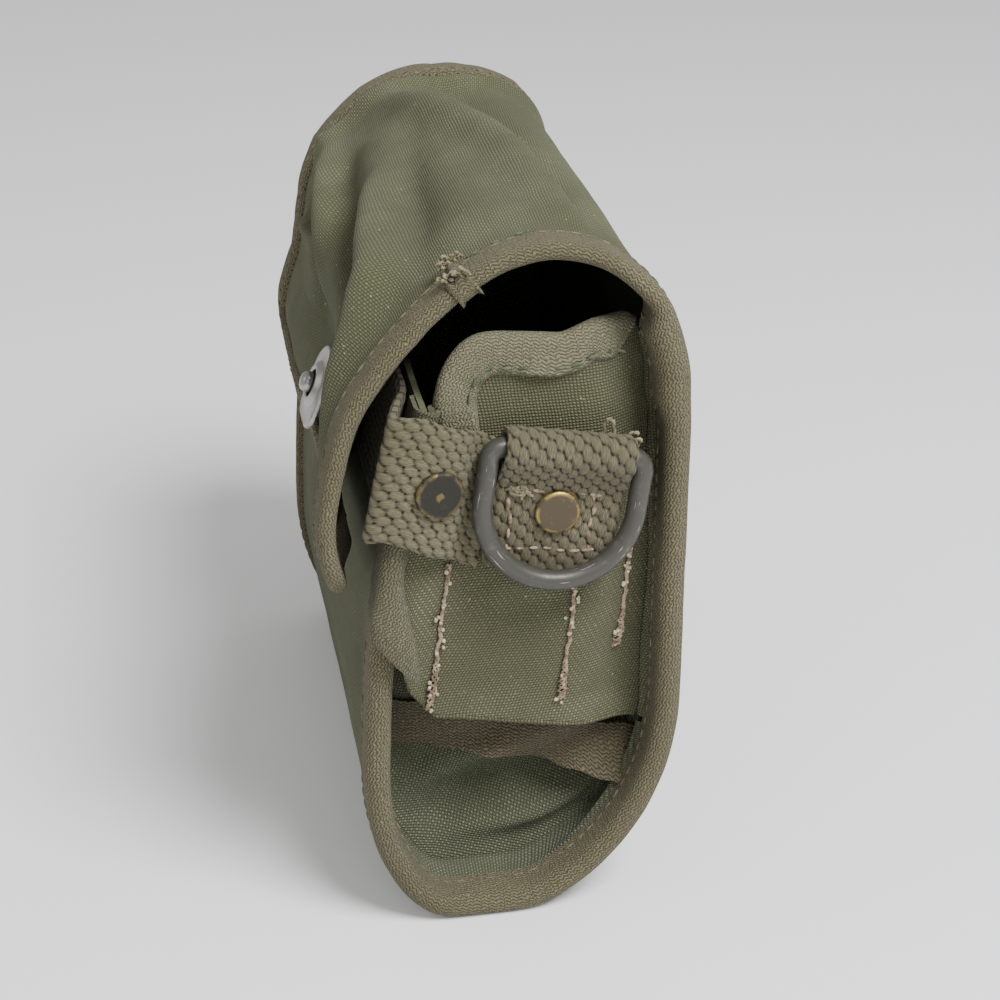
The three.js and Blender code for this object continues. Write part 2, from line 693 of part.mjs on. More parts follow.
// Webbing folded round the ring's bar. The section lies in X-Z, with the bar at its origin.
const eyeRadius = ringWire / 2 + gap;
const foldRadius = eyeRadius + webbing;
function ringTab() {
  const section = new THREE.Shape();
  section.absarc(0, 0, foldRadius, Math.PI, Math.PI * -0.12, true);
  section.lineTo(0, -foldRadius * 1.9);
  section.lineTo(0, -tabLength);
  section.lineTo(-foldRadius, -tabLength);
  section.closePath();
  const eye = new THREE.Path();
  eye.absarc(0, 0, eyeRadius / Math.cos(Math.PI / 16), 0, Math.PI * 2, false);
  section.holes.push(eye);
  const geometry = new THREE.ExtrudeGeometry(section, {
    depth: tabWidth, bevelEnabled: false, curveSegments: 8,
  });
  geometry.translate(0, 0, -tabWidth / 2);
  geometry.rotateX(Math.PI / 2);
  const hole = new THREE.Vector3(0, 0, -tabLength * 0.49);
  return bore(geometry, hole, outX, rivetShank + 2 * gap);
}

// D-ring hanging from its bar, flat in Y-Z, with the bar's middle at the origin
function dRing() {
  const half = (ringWidth - ringWire) / 2;
  const bowCentre = -(ringHeight - ringWire / 2 - half);
  const path = [[-half + ringCorner, 0], [0, 0], [half - ringCorner, 0]];
  const cornerSteps = 3;
  for (let k = 1; k <= cornerSteps; k += 1) {
    const angle = (Math.PI / 2) * (k / cornerSteps);
    path.push([half - ringCorner + ringCorner * Math.sin(angle), -ringCorner * (1 - Math.cos(angle))]);
  }
  const bowSteps = 12;
  for (let k = 0; k <= bowSteps; k += 1) {
    const angle = Math.PI * (k / bowSteps);
    path.push([half * Math.cos(angle), bowCentre - half * Math.sin(angle)]);
  }
  for (let k = cornerSteps; k >= 1; k -= 1) {
    const angle = (Math.PI / 2) * (k / cornerSteps);
    path.push([-half + ringCorner - ringCorner * Math.sin(angle), -ringCorner * (1 - Math.cos(angle))]);
  }
  const count = path.length;
  const wireSides = 8;
  const rings = path.map(([y, z], i) => {
    const before = path[(i + count - 1) % count];
    const after = path[(i + 1) % count];
    const along = new THREE.Vector2(after[0] - before[0], after[1] - before[1]).normalize();
    return Array.from({ length: wireSides }, (_, p) => {
      const angle = (Math.PI * 2 * p) / wireSides;
      const side = (ringWire / 2) * Math.cos(angle);
      return new THREE.Vector3(
        (ringWire / 2) * Math.sin(angle),
        y - along.y * side,
        z + along.x * side,
      );
    });
  });
  return sweep(rings, null);
}
// The bow leans on the tab where it crosses the tab's sides.
const bowHalf = (ringWidth - ringWire) / 2;
const crossing = Math.sqrt(Math.max(1, bowHalf ** 2 - (tabWidth / 2) ** 2));
const ringLean = Math.asin((ringWire / 2 + gap) / (ringHeight - ringWire / 2 - bowHalf + crossing));

// Rivet along +Y, with its head's seat at the origin and a washer at the far end of its shank
function rivet(headDiameter, grip) {
  const head = headDiameter / 2;
  const shank = rivetShank / 2;
  const washer = head * 0.55;
  const profile = [
    [0, -grip - washerThickness],
    [washer, -grip - washerThickness],
    [washer, -grip],
    [shank, -grip],
    [shank, 0],
    [head, 0],
    [head, rivetHeadHeight * 0.5],
    [head * 0.8, rivetHeadHeight],
    [0, rivetHeadHeight],
  ];
  return new THREE.LatheGeometry(profile.map(([x, y]) => new THREE.Vector2(x, y)), 10);
}

// Snap on the middle of the flap, square to the front wall
const snapFlap = skin(0, snapC, sheetInset);
const socketSeat = tape + 2 * gap; // the plate overlaps the hem tape
const snapNormal = (() => {
  const low = skin(0, snapC - 4, sheetInset);
  const high = skin(0, snapC + 4, sheetInset);
  const along = high.sub(low).normalize();
  return new THREE.Vector3(0, -along.z, along.y);
})();
function wallPoint() {
  const c = lengthAtHeight(snapFlap.z - snapNormal.z * 4, frontLowIndex, lipIndex);
  return skin(0, c, sheetInset);
}
const snapWallGap = snapFlap.clone().sub(wallPoint()).dot(snapNormal);
function snapSocket() {
  const half = socketWidth / 2;
  const tall = socketHeight / 2;
  const round = socketWidth * 0.28;
  const plate = new THREE.Shape();
  plate.moveTo(-half + round, -tall);
  plate.lineTo(half - round, -tall);
  plate.absarc(half - round, -tall + round, round, -Math.PI / 2, 0, false);
  plate.lineTo(half, tall - half);
  plate.absarc(0, tall - half, half, 0, Math.PI, false);
  plate.lineTo(-half, -tall + round);
  plate.absarc(-half + round, -tall + round, round, Math.PI, Math.PI * 1.5, false);
  const hole = new THREE.Path();
  const holeRadius = studHead / 2 + 2 * gap;
  hole.absarc(0, 0, holeRadius, 0, Math.PI * 2, true);
  plate.holes.push(hole);
  const flat = new THREE.ExtrudeGeometry(plate, {
    depth: socketThickness, bevelEnabled: false, curveSegments: 5,
  });
  flat.rotateX(-Math.PI / 2);
  const collarOuter = holeRadius + 2;
  const ring = [
    [holeRadius, socketThickness * 0.5],
    [collarOuter, socketThickness * 0.5],
    [collarOuter - 0.6, socketThickness + collarHeight],
    [holeRadius, socketThickness + collarHeight],
    [holeRadius, socketThickness * 0.5],
  ];
  const collar = new THREE.LatheGeometry(ring.map(([x, y]) => new THREE.Vector2(x, y)), 10);
  return asGeometry(asManifold(flat).add(asManifold(collar)));
}
// Stud along +Y from the outer face of the front wall, with a washer inside the wall
function snapStud() {
  const baseThickness = 0.8;
  const tip = snapWallGap + socketSeat + socketThickness + studReach;
  const seat = 3 * gap;
  const inside = canvas + 2 * gap;
  const profile = [
    [0, -inside - washerThickness],
    [studBase * 0.4, -inside - washerThickness],
    [studBase * 0.4, -inside],
    [rivetShank / 2, -inside],
    [rivetShank / 2, seat],
    [studBase / 2, seat],
    [studBase / 2, seat + baseThickness * 0.5],
    [studNeck / 2 + 0.6, seat + baseThickness],
    [studNeck / 2, tip - studHead * 0.8],
    [studHead / 2, tip - studHead * 0.5],
    [studHead * 0.36, tip - studHead * 0.14],
    [0, tip],
  ];
  return new THREE.LatheGeometry(profile.map(([x, y]) => new THREE.Vector2(x, y)), 10);
}

// Finishes
const finish = (color, roughness, metalness) =>
  new THREE.MeshStandardMaterial({ color, roughness, metalness });
const canvasFinish = finish(0x5f6148, 0.95, 0);
const tapeFinish = finish(0x76705a, 0.95, 0);
const webbingFinish = finish(0x7f7860, 0.95, 0);
const ringFinish = finish(0x4b4c47, 0.42, 0.6);
const darkRivetFinish = finish(0x4a463a, 0.5, 0.7);
const brassFinish = finish(0x8d7a45, 0.4, 0.9);
const snapFinish = finish(0xa8a69c, 0.32, 1);

const bag = new THREE.Group();
const pouch = new THREE.Group();
bag.add(pouch);
function addTo(parent, name, geometry, material) {
  const mesh = new THREE.Mesh(geometry, material);
  mesh.name = name;
  parent.add(mesh);
  return mesh;
}
const facing = (mesh, point, direction) => {
  mesh.position.copy(point);
  mesh.quaternion.setFromUnitVectors(THREE.Object3D.DEFAULT_UP, direction);
};

const wallHole = snapFlap.clone().addScaledVector(snapNormal, -snapWallGap);
addTo(pouch, 'body_panel', bore(bodyPanel(), wallHole, snapNormal, rivetShank + 2 * gap), canvasFinish);
addTo(pouch, 'flap_panel', bore(flapPanel(), snapFlap, snapNormal, studHead + 4 * gap), canvasFinish);
addTo(pouch, 'flap_edge_binding', flapEdgeBinding(), tapeFinish);
const socket = addTo(pouch, 'snap_socket', snapSocket(), snapFinish);
facing(socket, snapFlap.clone().addScaledVector(snapNormal, socketSeat), snapNormal);
socket.rotateY(Math.PI);
const stud = addTo(pouch, 'snap_stud', snapStud(), snapFinish);
facing(stud, wallHole, snapNormal);

const rivetHole = rivetShank + 2 * gap;
const clothPieces = [
  ['front_binding', bore(frontBinding(), strapRivet.point, strapRivet.normal, rivetHole), tapeFinish],
  ['end_upper_panel', upperPanel(), canvasFinish],
  ['end_lower_panel', lowerPanel(), canvasFinish],
  ['seam_tape', seamTape(), tapeFinish],
  ['mouth_binding', mouthBinding(), tapeFinish],
  ['ring_strap', ringStrap(), webbingFinish],
];
const tabGeometry = ringTab();
const ringGeometry = dRing();
const barX = tabFace + gap + foldRadius;
const tabGrip = foldRadius + gap + canvas + 2 * gap;
const strapGrip = strapRivet.point.x - upperFace(0.1) + strapHalf + canvas + 2 * gap;
for (const [side, name] of [[1, 'right'], [-1, 'left']]) {
  const handed = (geometry) => (side > 0 ? geometry : mirrored(geometry));
  clothPieces.forEach(([piece, geometry, material]) => {
    addTo(pouch, `${name}_${piece}`, handed(geometry), material);
  });
  addTo(pouch, `${name}_rim_binding`, rimBinding(side), tapeFinish);
  const hanger = new THREE.Group();
  hanger.position.set(side * barX, tabSeat.y, tabSeat.z);
  hanger.rotation.x = -tabTilt;
  pouch.add(hanger);
  addTo(hanger, `${name}_ring_tab`, handed(tabGeometry), webbingFinish);
  const ring = addTo(hanger, `${name}_d_ring`, handed(ringGeometry), ringFinish);
  ring.rotation.y = -side * ringLean;
  const tabRivet = addTo(hanger, `${name}_tab_rivet`, rivet(tabRivetHead, tabGrip + gap), brassFinish);
  facing(tabRivet, new THREE.Vector3(side * gap, 0, -tabLength * 0.49), new THREE.Vector3(side, 0, 0));
  const strapRivetMesh = addTo(pouch, `${name}_strap_rivet`, rivet(strapRivetHead, strapGrip), darkRivetFinish);
  const normal = strapRivet.normal.clone();
  const seat = strapRivet.point.clone().addScaledVector(normal, strapHalf + 2 * gap);
  seat.x *= side;
  normal.x *= side;
  facing(strapRivetMesh, seat, normal);
}

// The pouch stands on the middle of its base.
const box = new THREE.Box3().setFromObject(pouch);
pouch.position.set(-(box.min.x + box.max.x) / 2, -(box.min.y + box.max.y) / 2, -box.min.z);

export default bag;
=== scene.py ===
import math
from functools import partial

import bpy
import numpy as np
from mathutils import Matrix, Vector, noise


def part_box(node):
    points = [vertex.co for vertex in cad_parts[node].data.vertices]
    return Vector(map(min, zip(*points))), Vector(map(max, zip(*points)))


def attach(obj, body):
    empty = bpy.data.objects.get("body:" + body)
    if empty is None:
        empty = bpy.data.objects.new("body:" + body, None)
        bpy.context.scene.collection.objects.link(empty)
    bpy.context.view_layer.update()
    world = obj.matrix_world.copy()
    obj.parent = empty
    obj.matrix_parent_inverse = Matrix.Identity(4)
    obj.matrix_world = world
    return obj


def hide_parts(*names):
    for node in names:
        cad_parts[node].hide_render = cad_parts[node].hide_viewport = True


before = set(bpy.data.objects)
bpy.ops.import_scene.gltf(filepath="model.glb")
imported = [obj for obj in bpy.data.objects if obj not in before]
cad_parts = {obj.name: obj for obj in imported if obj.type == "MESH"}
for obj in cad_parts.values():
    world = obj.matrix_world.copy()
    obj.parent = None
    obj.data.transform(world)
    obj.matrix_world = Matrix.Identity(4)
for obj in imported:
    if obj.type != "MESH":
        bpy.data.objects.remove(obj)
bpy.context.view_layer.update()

# Canvas equipment pouch. Sizes below are in millimetres, as in the part's source:
# X runs along the length, -Y is the front, Z is up. Meshes are written in metres.
BAG_LENGTH, BAG_DEPTH, BAG_HEIGHT = 140.0, 65.0, 148.5
FOOT_SINK = 2.4
CANVAS, TAPE, GAP = 1.3, 0.9, 0.3
BINDING = 8.5
FRONT_LEAF = 2.6
FLAP_CORNER = 12.0
LAP = 12.0
FRONT_RECESS, MIDDLE_RECESS, BACK_RECESS, LOWER_RECESS = 3.4, 5.0, 11.5, 15.8
TURN = 1.5
WEBBING, STRAP_WIDTH, STRAP_RUN, STRAP_DROP, STRAP_FLARE = 2.0, 25.4, 28.0, 9.1, 0.5
TAB_WIDTH, TAB_LENGTH, TAB_TILT = 25.4, 25.3, math.radians(9.8)
WIRE, RING_WIDTH, RING_HEIGHT, RING_CORNER = 4.0, 34.4, 28.0, 2.8

RIM_X = BAG_LENGTH / 2
INNER_X = RIM_X - FLAP_CORNER - 2
LEAF_X = RIM_X - BINDING
EDGE_X = RIM_X - TAPE - GAP
LAYER = CANVAS + GAP
INSET = TAPE + GAP
SNAP_FLAT = 8.5
SNAP_UP, SNAP_PULL, SNAP_SLOPE = 0.632, 0.078, 0.22
FRONT_BELLY = 0.045
FOLD_FRONT, FOLD_BACK, LIP_BACK = 0.47, 0.265, 0.867
SEAM_FRONT, SEAM_BACK, SEAM_WIDTH = 0.252, 0.165, 10.0

# Outline of a rim, in shares of the depth in front of the back wall and of the height
FLAP_EDGE = [
    (1.07, 0.508), (1.118, 0.6), (1.098, 0.686), (1.032, 0.787), (0.906, 0.869), (0.748, 0.941),
    (0.579, 0.987), (0.41, 1), (0.238, 0.977), (0.085, 0.914), (0.012, 0.827), (0, 0.76),
]
FRONT_EDGE = [(1, 0.2335), (0.994, 0.32), (0.978, 0.427), (0.945, 0.547), (0.889, 0.667), (0.825, 0.79)]
KEEL, BACK_CURVE = 0.656, 0.3336

# Set of the flap off the right rim's outline: along it, between the ends, at the left rim
FLAP_SET = np.array([
    (0, -0.045, -0.05), (0.3, -0.075, -0.12), (0.37, -0.057, -0.115), (0.45, -0.02, -0.095),
    (0.53, 0.012, -0.06), (0.61, 0.03, -0.03), (0.78, 0.026, -0.03), (1, 0.01, -0.065),
    (1.1, 0, -0.05), (1.24, 0, 0),
])
SNAP_DENT = np.array([(0, 0.15), (0.25, 1), (0.33, 1), (0.45, 0.66), (0.6, 0.25), (0.75, 0)])
MOUTH_RISE = np.array([
    (0, 0), (0.03, 0.032), (0.07, 0.052), (0.13, 0.066), (0.2, 0.07), (0.28, 0.065), (0.46, 0.048), (0.6, 0.034),
    (0.74, 0.039), (0.92, 0.023), (1, 0),
])
FOLD_RISE = np.array([
    (0, -0.05), (0.05, -0.095), (0.15, -0.12), (0.3, -0.098), (0.45, -0.078), (0.75, -0.035), (0.9, -0.01), (1, 0),
])

# The frame's place of the source's origin along Y
Y_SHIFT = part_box("right_rim_binding")[1].y * 1000 - BAG_DEPTH / 2


def smoothstep(x, low, high):
    t = np.clip((np.asarray(x, float) - low) / (high - low), 0, 1)
    return t * t * (3 - 2 * t)


def table_value(table, at, column=1):
    return np.interp(at, table[:, 0], table[:, column])


def bell(offset, width):
    return np.exp(-((offset / width) ** 2))


def columns(*values):
    return np.stack(np.broadcast_arrays(*values), -1)


def path_run(points):
    """Length along a line of points, from 0 at its first."""
    return np.concatenate([[0], np.cumsum(np.linalg.norm(np.diff(points, axis=0), axis=1))])


def between(at, run, points):
    return np.stack([np.interp(at, run, column) for column in points.T], -1)


def noise_line(count, step, second, third):
    """Smooth random values from -1 to 1, one for each of a row of steps."""
    return np.array([noise.noise(Vector((k * step, second, third))) for k in range(count)])


def section_point(forward, up):
    return np.array([BAG_DEPTH * (0.5 - forward), BAG_HEIGHT * up])


def spline(rows, count):
    """Catmull-Rom line through the rows, in even steps of its length."""
    points = np.array([section_point(*row) for row in rows])
    padded = np.vstack([points[:1], points, points[-1:]])
    dense = []
    for t in np.linspace(0, len(points) - 1, 600):
        k = min(int(t), len(points) - 2)
        w = t - k
        p0, p1, p2, p3 = padded[k:k + 4]
        v0, v1 = (p2 - p0) / 2, (p3 - p1) / 2
        dense.append((2 * p1 - 2 * p2 + v0 + v1) * w**3 + (-3 * p1 + 3 * p2 - 2 * v0 - v1) * w**2 + v0 * w + p1)
    return even_steps(np.array(dense), count)


def even_steps(points, count):
    run = path_run(points)
    return between(np.linspace(0, run[-1], count), run, points)


def foot_curve(forward, up, count):
    side, keel = section_point(forward, up), section_point(KEEL, 0)
    drop = side[1] + FOOT_SINK
    angle = np.linspace(0, math.asin(side[1] / drop), count)
    y = keel[0] + (side[0] - keel[0]) * np.cos(angle)
    return np.stack([y, side[1] - drop * np.sin(angle)], 1)


flap_line = spline(FLAP_EDGE, 320)
front_line = spline(FRONT_EDGE, 170)
back_foot = foot_curve(0, BACK_CURVE, 120)
front_foot = foot_curve(*FRONT_EDGE[0], 90)[::-1]
back_line = np.linspace(flap_line[-1], back_foot[0], 120)
base_line = np.linspace(back_foot[-1], front_foot[0], 40)
outline_yz = np.vstack([flap_line, back_line[1:], back_foot[1:], base_line[1:], front_foot[1:], front_line[1:]])
outline_yz = even_steps(outline_yz, 1000)


def softened(points, reach):
    """Points averaged over a short reach, with the ends kept."""
    padded = np.vstack([
        2 * points[0] - points[reach:0:-1], points, 2 * points[-1] - points[-2:-reach - 2:-1],
    ])
    weights = np.hanning(2 * reach + 3)[1:-1]
    weights /= weights.sum()
    return np.stack([np.convolve(padded[:, k], weights, "valid") for k in range(points.shape[1])], 1)


foot = smoothstep(14 - outline_yz[:, [1]], 0, 10)
outline_yz = softened(outline_yz, 6) * (1 - foot) + softened(outline_yz, 20) * foot
outline_yz[:, 1] -= outline_yz[:, 1].min()
outline_run = path_run(outline_yz)
outline_slope = np.gradient(outline_yz, outline_run, axis=0)
outline_out = np.stack([-outline_slope[:, 1], outline_slope[:, 0]], 1)
outline_out /= np.linalg.norm(outline_out, axis=1)[:, None]


def run_at_height(z, low, high):
    """Length along the outline where it crosses a height, between two of its points."""
    heights = outline_yz[low:high, 1] - min(z, outline_yz[low:high, 1].max() - 0.01)
    k = low + int(np.argmax(heights[:-1] * heights[1:] <= 0))
    a, b = heights[k - low], heights[k + 1 - low]
    return outline_run[k] + (outline_run[k + 1] - outline_run[k]) * a / (a - b)


crest_index = int(np.argmax(outline_yz[:, 1]))
base_index = int(np.argmin(outline_yz[:, 1]))
CREST = outline_run[crest_index]
LIP = outline_run[-1]
BODY_TOP = run_at_height(BAG_HEIGHT * LIP_BACK, crest_index, base_index)
FLAP_END = BODY_TOP + LAP
FOLD_BACK_RUN = run_at_height(BAG_HEIGHT * FOLD_BACK, crest_index, base_index)
FOLD_FRONT_RUN = run_at_height(BAG_HEIGHT * FOLD_FRONT, base_index, 999)
JOIN = run_at_height(BAG_HEIGHT * 0.957, 0, crest_index)
SNAP_RUN = run_at_height(BAG_HEIGHT * SNAP_UP, 20, crest_index)
FRONT_START = run_at_height(BAG_HEIGHT * FRONT_EDGE[0][1], base_index, 999)


def swell(x, c):
    """Distance that the cloth stands out from the right rim's outline."""
    x, c = np.broadcast_arrays(np.asarray(x, float), np.asarray(c, float))
    relaxed = smoothstep((INNER_X - np.abs(x)) / (RIM_X * 0.17), 0, 1)
    along = c / CREST
    middle = table_value(FLAP_SET, along)
    left = table_value(FLAP_SET, along, 2)
    to_left = 1 - smoothstep(x, -INNER_X, -RIM_X * 0.25)
    flap_set = np.where(x > 0, relaxed * middle, middle + (left - middle) * to_left)
    dent = 1 - smoothstep(np.abs(x), SNAP_FLAT, SNAP_FLAT + BAG_LENGTH * SNAP_SLOPE)
    flap = BAG_DEPTH * (flap_set - SNAP_PULL * dent * table_value(SNAP_DENT, along))
    share = np.clip((c - FRONT_START) / (LIP - FRONT_START), 0, 1)
    belly = np.sin(np.pi * np.minimum(1, share * 1.9)) * (1 - (x / RIM_X) ** 2)
    front = relaxed * BAG_DEPTH * FRONT_BELLY * np.maximum(0, belly)
    return np.where(c < FLAP_END, flap, front)


def lap_inset(c):
    c = np.asarray(c, float)
    return LAYER * (1 - smoothstep(c, FLAP_END + 0.5, FLAP_END + BINDING))


def flange_inset(c):
    return INSET + LAYER + lap_inset(c)


def rim_thickness(c):
    c = np.asarray(c, float)
    bare = 2 * TAPE + GAP + LAYER
    before = bare + 2 * LAYER * smoothstep(c, BODY_TOP - BINDING, BODY_TOP - 1)
    return np.where(c < BODY_TOP - 1, before, bare + LAYER + lap_inset(c))


def outline_at(c):
    point, out = (between(c, outline_run, lines) for lines in (outline_yz, outline_out))
    return point, out / np.linalg.norm(out, axis=-1, keepdims=True)


def outward_at(c):
    """Direction out of the cloth at each outline length, as x, y and z."""
    out = outline_at(c)[1]
    return np.concatenate([np.zeros_like(out[..., :1]), out], -1)


def skin(x, c, inset):
    """Points on the cloth at x and outline length c, so far under the bindings' outside."""
    x, c, inset = np.broadcast_arrays(*(np.asarray(v, float) for v in (x, c, inset)))
    point, out = outline_at(c)
    stand = (swell(x, c) - inset)[..., None]
    return np.concatenate([x[..., None], point + out * stand], -1)


# Meshes
def unit(vectors):
    return vectors / np.maximum(np.linalg.norm(vectors, axis=-1, keepdims=True), 1e-9)


def strip_faces(line, offset, turned):
    a, b = line[:-1], line[1:]
    quads = np.stack([b, a, a + offset, b + offset], 1)
    return quads[:, ::-1] if turned else quads


def finished(name, points, faces, uv, material, body="pouch", sharp=50):
    """One closed mesh in metres that rides its body. uv holds millimetres of cloth at each vertex."""
    mesh = bpy.data.meshes.new(name)
    placed = (np.asarray(points) + (0, Y_SHIFT, 0)) / 1000
    faces = np.asarray(faces)
    a, b, c, d = (placed[faces[:, k]] for k in range(4))
    volume = np.einsum("ij,ij->i", a, np.cross(b, c)).sum() + np.einsum("ij,ij->i", a, np.cross(c, d)).sum()
    if volume < 0:
        faces = faces[:, ::-1]
    mesh.from_pydata(placed.tolist(), [], faces.tolist())
    layer = mesh.uv_layers.new(name="cloth_mm")
    loops = np.zeros(len(mesh.loops), np.int32)
    mesh.loops.foreach_get("vertex_index", loops)
    layer.data.foreach_set("uv", np.asarray(uv, np.float32)[loops].ravel())
    mesh.shade_smooth()
    mesh.set_sharp_from_angle(angle=math.radians(sharp))
    mesh.materials.append(material)
    return placed_piece(name, mesh, body)


def placed_piece(name, mesh, body="pouch"):
    piece = bpy.data.objects.new(name, mesh)
    bpy.context.scene.collection.objects.link(piece)
    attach(piece, body)
    return piece


def layered(name, top, under, uv, material, slot):
    """Cloth between two grids of points, closed round its edges."""
    rows, columns = top.shape[:2]
    count = rows * columns
    index = np.arange(count).reshape(rows, columns)
    upper = np.stack([index[:-1, :-1], index[1:, :-1], index[1:, 1:], index[:-1, 1:]], -1).reshape(-1, 4)
    sides = [
        strip_faces(index[:, 0], count, False), strip_faces(index[:, -1], count, True),
        strip_faces(index[0], count, True), strip_faces(index[-1], count, False),
    ]
    faces = np.vstack([upper, upper[:, ::-1] + count, *sides])
    points = np.vstack([top.reshape(-1, 3), under.reshape(-1, 3)])
    points[:, 2] = np.maximum(points[:, 2], 0)
    flat = np.asarray(uv, float).reshape(-1, 2)
    return finished(name, points, faces, np.vstack([flat, flat]), material)


def ring_mesh(path, radius, sides):
    """Points, faces and uv of a round bar along a closed path."""
    along = unit(np.roll(path, -1, 0) - np.roll(path, 1, 0))
    side = unit(np.cross(along, (1.0, 0, 0)))
    up = np.cross(side, along)
    angle = np.linspace(0, 2 * np.pi, sides, endpoint=False)
    ring = np.cos(angle)[None, :, None] * side[:, None] + np.sin(angle)[None, :, None] * up[:, None]
    points = (path[:, None] + radius * ring).reshape(-1, 3)
    rows = np.arange(len(path) * sides).reshape(len(path), sides)
    following = np.roll(rows, -1, 0)
    faces = np.stack([rows, np.roll(rows, -1, 1), np.roll(following, -1, 1), following], -1).reshape(-1, 4)
    run = path_run(path)
    uv = columns(run[:, None], angle[None] * 2).reshape(-1, 2)
    return points, faces, uv


def mirror_to(side, points):
    return points * (side, 1, 1)


def canvas_sheet(name, side, points, out, uv, material):
    """Canvas about the middle of its cloth, described at the right end."""
    half = out * CANVAS / 2
    return layered(name, mirror_to(side, points + half), mirror_to(side, points - half), uv, material, "canvas")


def rumple(points, reach, height, seed, stretch=(1, 1, 1)):
    """Smooth uneven height at each point, from -height to height."""
    scaled = (np.asarray(points).reshape(-1, 3) * stretch) / reach + seed * 7.31
    return height * np.array([noise.noise(Vector(p)) for p in scaled]).reshape(points.shape[:-1])


def grid_normals(points):
    down = np.gradient(points, axis=0)
    across = np.gradient(points, axis=1)
    return unit(np.cross(down, across))


def cloth_run(points, axis):
    """Distance along one direction of a grid, for the weave."""
    steps = np.linalg.norm(np.diff(points, axis=axis), axis=-1)
    zero = np.zeros_like(np.take(steps, [0], axis))
    return np.concatenate([zero, np.cumsum(steps, axis)], axis)


# Front wall, bottom and back wall in one sheet
def body_cloth(material):
    c = np.linspace(BODY_TOP, LIP, 200)[:, None]
    x = np.linspace(-EDGE_X, EDGE_X, 70)[None]
    depth = INSET + lap_inset(c)
    place = skin(x, c, depth)
    free = smoothstep(LEAF_X - np.abs(x), 0, 20) * smoothstep(place[..., 2], 3, 22)
    drape = free * (rumple(place, 34, 0.9, 1, (0.5, 1, 0.8)) + rumple(place, 13, 0.22, 2))
    top = skin(x, c, depth - drape)
    under = skin(x, c, depth - drape + CANVAS)
    uv = columns(x, c)
    piece = layered("body_cloth", top, under, uv, material, "canvas")
    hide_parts("body_panel")


def flap_half(c):
    radius = FLAP_CORNER - TAPE - GAP
    rise = np.maximum(0, radius - (c - TAPE - GAP))
    return RIM_X - FLAP_CORNER + np.sqrt(np.maximum(0, radius**2 - rise**2))


# Creases of the flap: height, half width, and points (x, share of the run from the front edge to the crest)
FLAP_CREASES = [
    (3.9, 5.4, [(-66, 0.76), (-42, 0.87), (-10, 0.96), (6, 1.03), (39, 1.07), (70, 1.1)]),
    (-4.9, 6.0, [(-62, 0.97), (-30, 1.09), (6, 1.15), (44, 1.18), (66, 1.2)]),
    (-6.8, 5.0, [(-32, 0.67), (-12, 0.637), (10, 0.59), (34, 0.55), (43, 0.47), (45, 0.36), (44, 0.26)]),
    (3.9, 4.4, [(-64, 0.66), (-33, 0.611), (-14, 0.55), (-8, 0.42)]),
    (5.7, 5.2, [(-4, 0.72), (20, 0.69), (44, 0.655), (52, 0.55), (56, 0.44), (58, 0.3)]),
    (2.3, 3.0, [(-66, 0.36), (-42, 0.45), (-16, 0.52)]),
    (-3.6, 4.6, [(-64, 0.5), (-44, 0.52), (-26, 0.5), (-20, 0.42), (-18, 0.3)]),
    (-2.0, 4.6, [(-20, 0.85), (10, 0.8), (36, 0.78), (52, 0.74)]),
    (3.9, 4.0, [(-55, 0.4), (-57, 0.6), (-57, 0.8), (-57, 1.1), (-56, 1.4)]),
]


def crease_height(first, second, creases):
    """Height of soft creases over a grid of two flat coordinates, fading to each crease's ends."""
    height = np.zeros(np.broadcast_shapes(np.shape(first), np.shape(second)))
    for rise, reach, points in creases:
        line = softened(even_steps(np.array(points, float), 60), 6)
        share = np.zeros_like(height)
        for (p, q), fade in zip(line, np.sin(np.linspace(0, np.pi, 60)) ** 0.6):
            share = np.maximum(share, fade * np.exp(-((first - p) ** 2 + (second - q) ** 2) / reach**2))
        height = height + rise * share
    return height


def flap_relief(x, c):
    creases = [(rise, reach, [(p, q * CREST) for p, q in points]) for rise, reach, points in FLAP_CREASES]
    return crease_height(x, c, creases)


def flap_cloth(material):
    low = TAPE + GAP
    c = low + (FLAP_END - low) * np.linspace(0, 1, 210)[:, None] ** 1.12
    share = np.linspace(-1, 1, 134)[None]
    x = share * flap_half(c)
    place = skin(x, c, INSET)
    free = smoothstep(LEAF_X - np.abs(x), 0, 9) * smoothstep(c, 9, 20) * smoothstep(FLAP_END - c, 2, 20)
    around_snap = 1 - np.exp(-((x / 11) ** 2 + ((c - SNAP_RUN) / 12) ** 2))
    drape = rumple(place, 30, 0.7, 4, (0.6, 1, 1)) + rumple(place, 11, 0.16, 5) + flap_relief(x, c)
    drape = free * around_snap * drape
    top = skin(x, c, INSET - drape)
    under = skin(x, c, INSET - drape + CANVAS)
    uv = columns(x, c)
    piece = layered("flap_cloth", top, under, uv, material, "canvas")
    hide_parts("flap_panel")


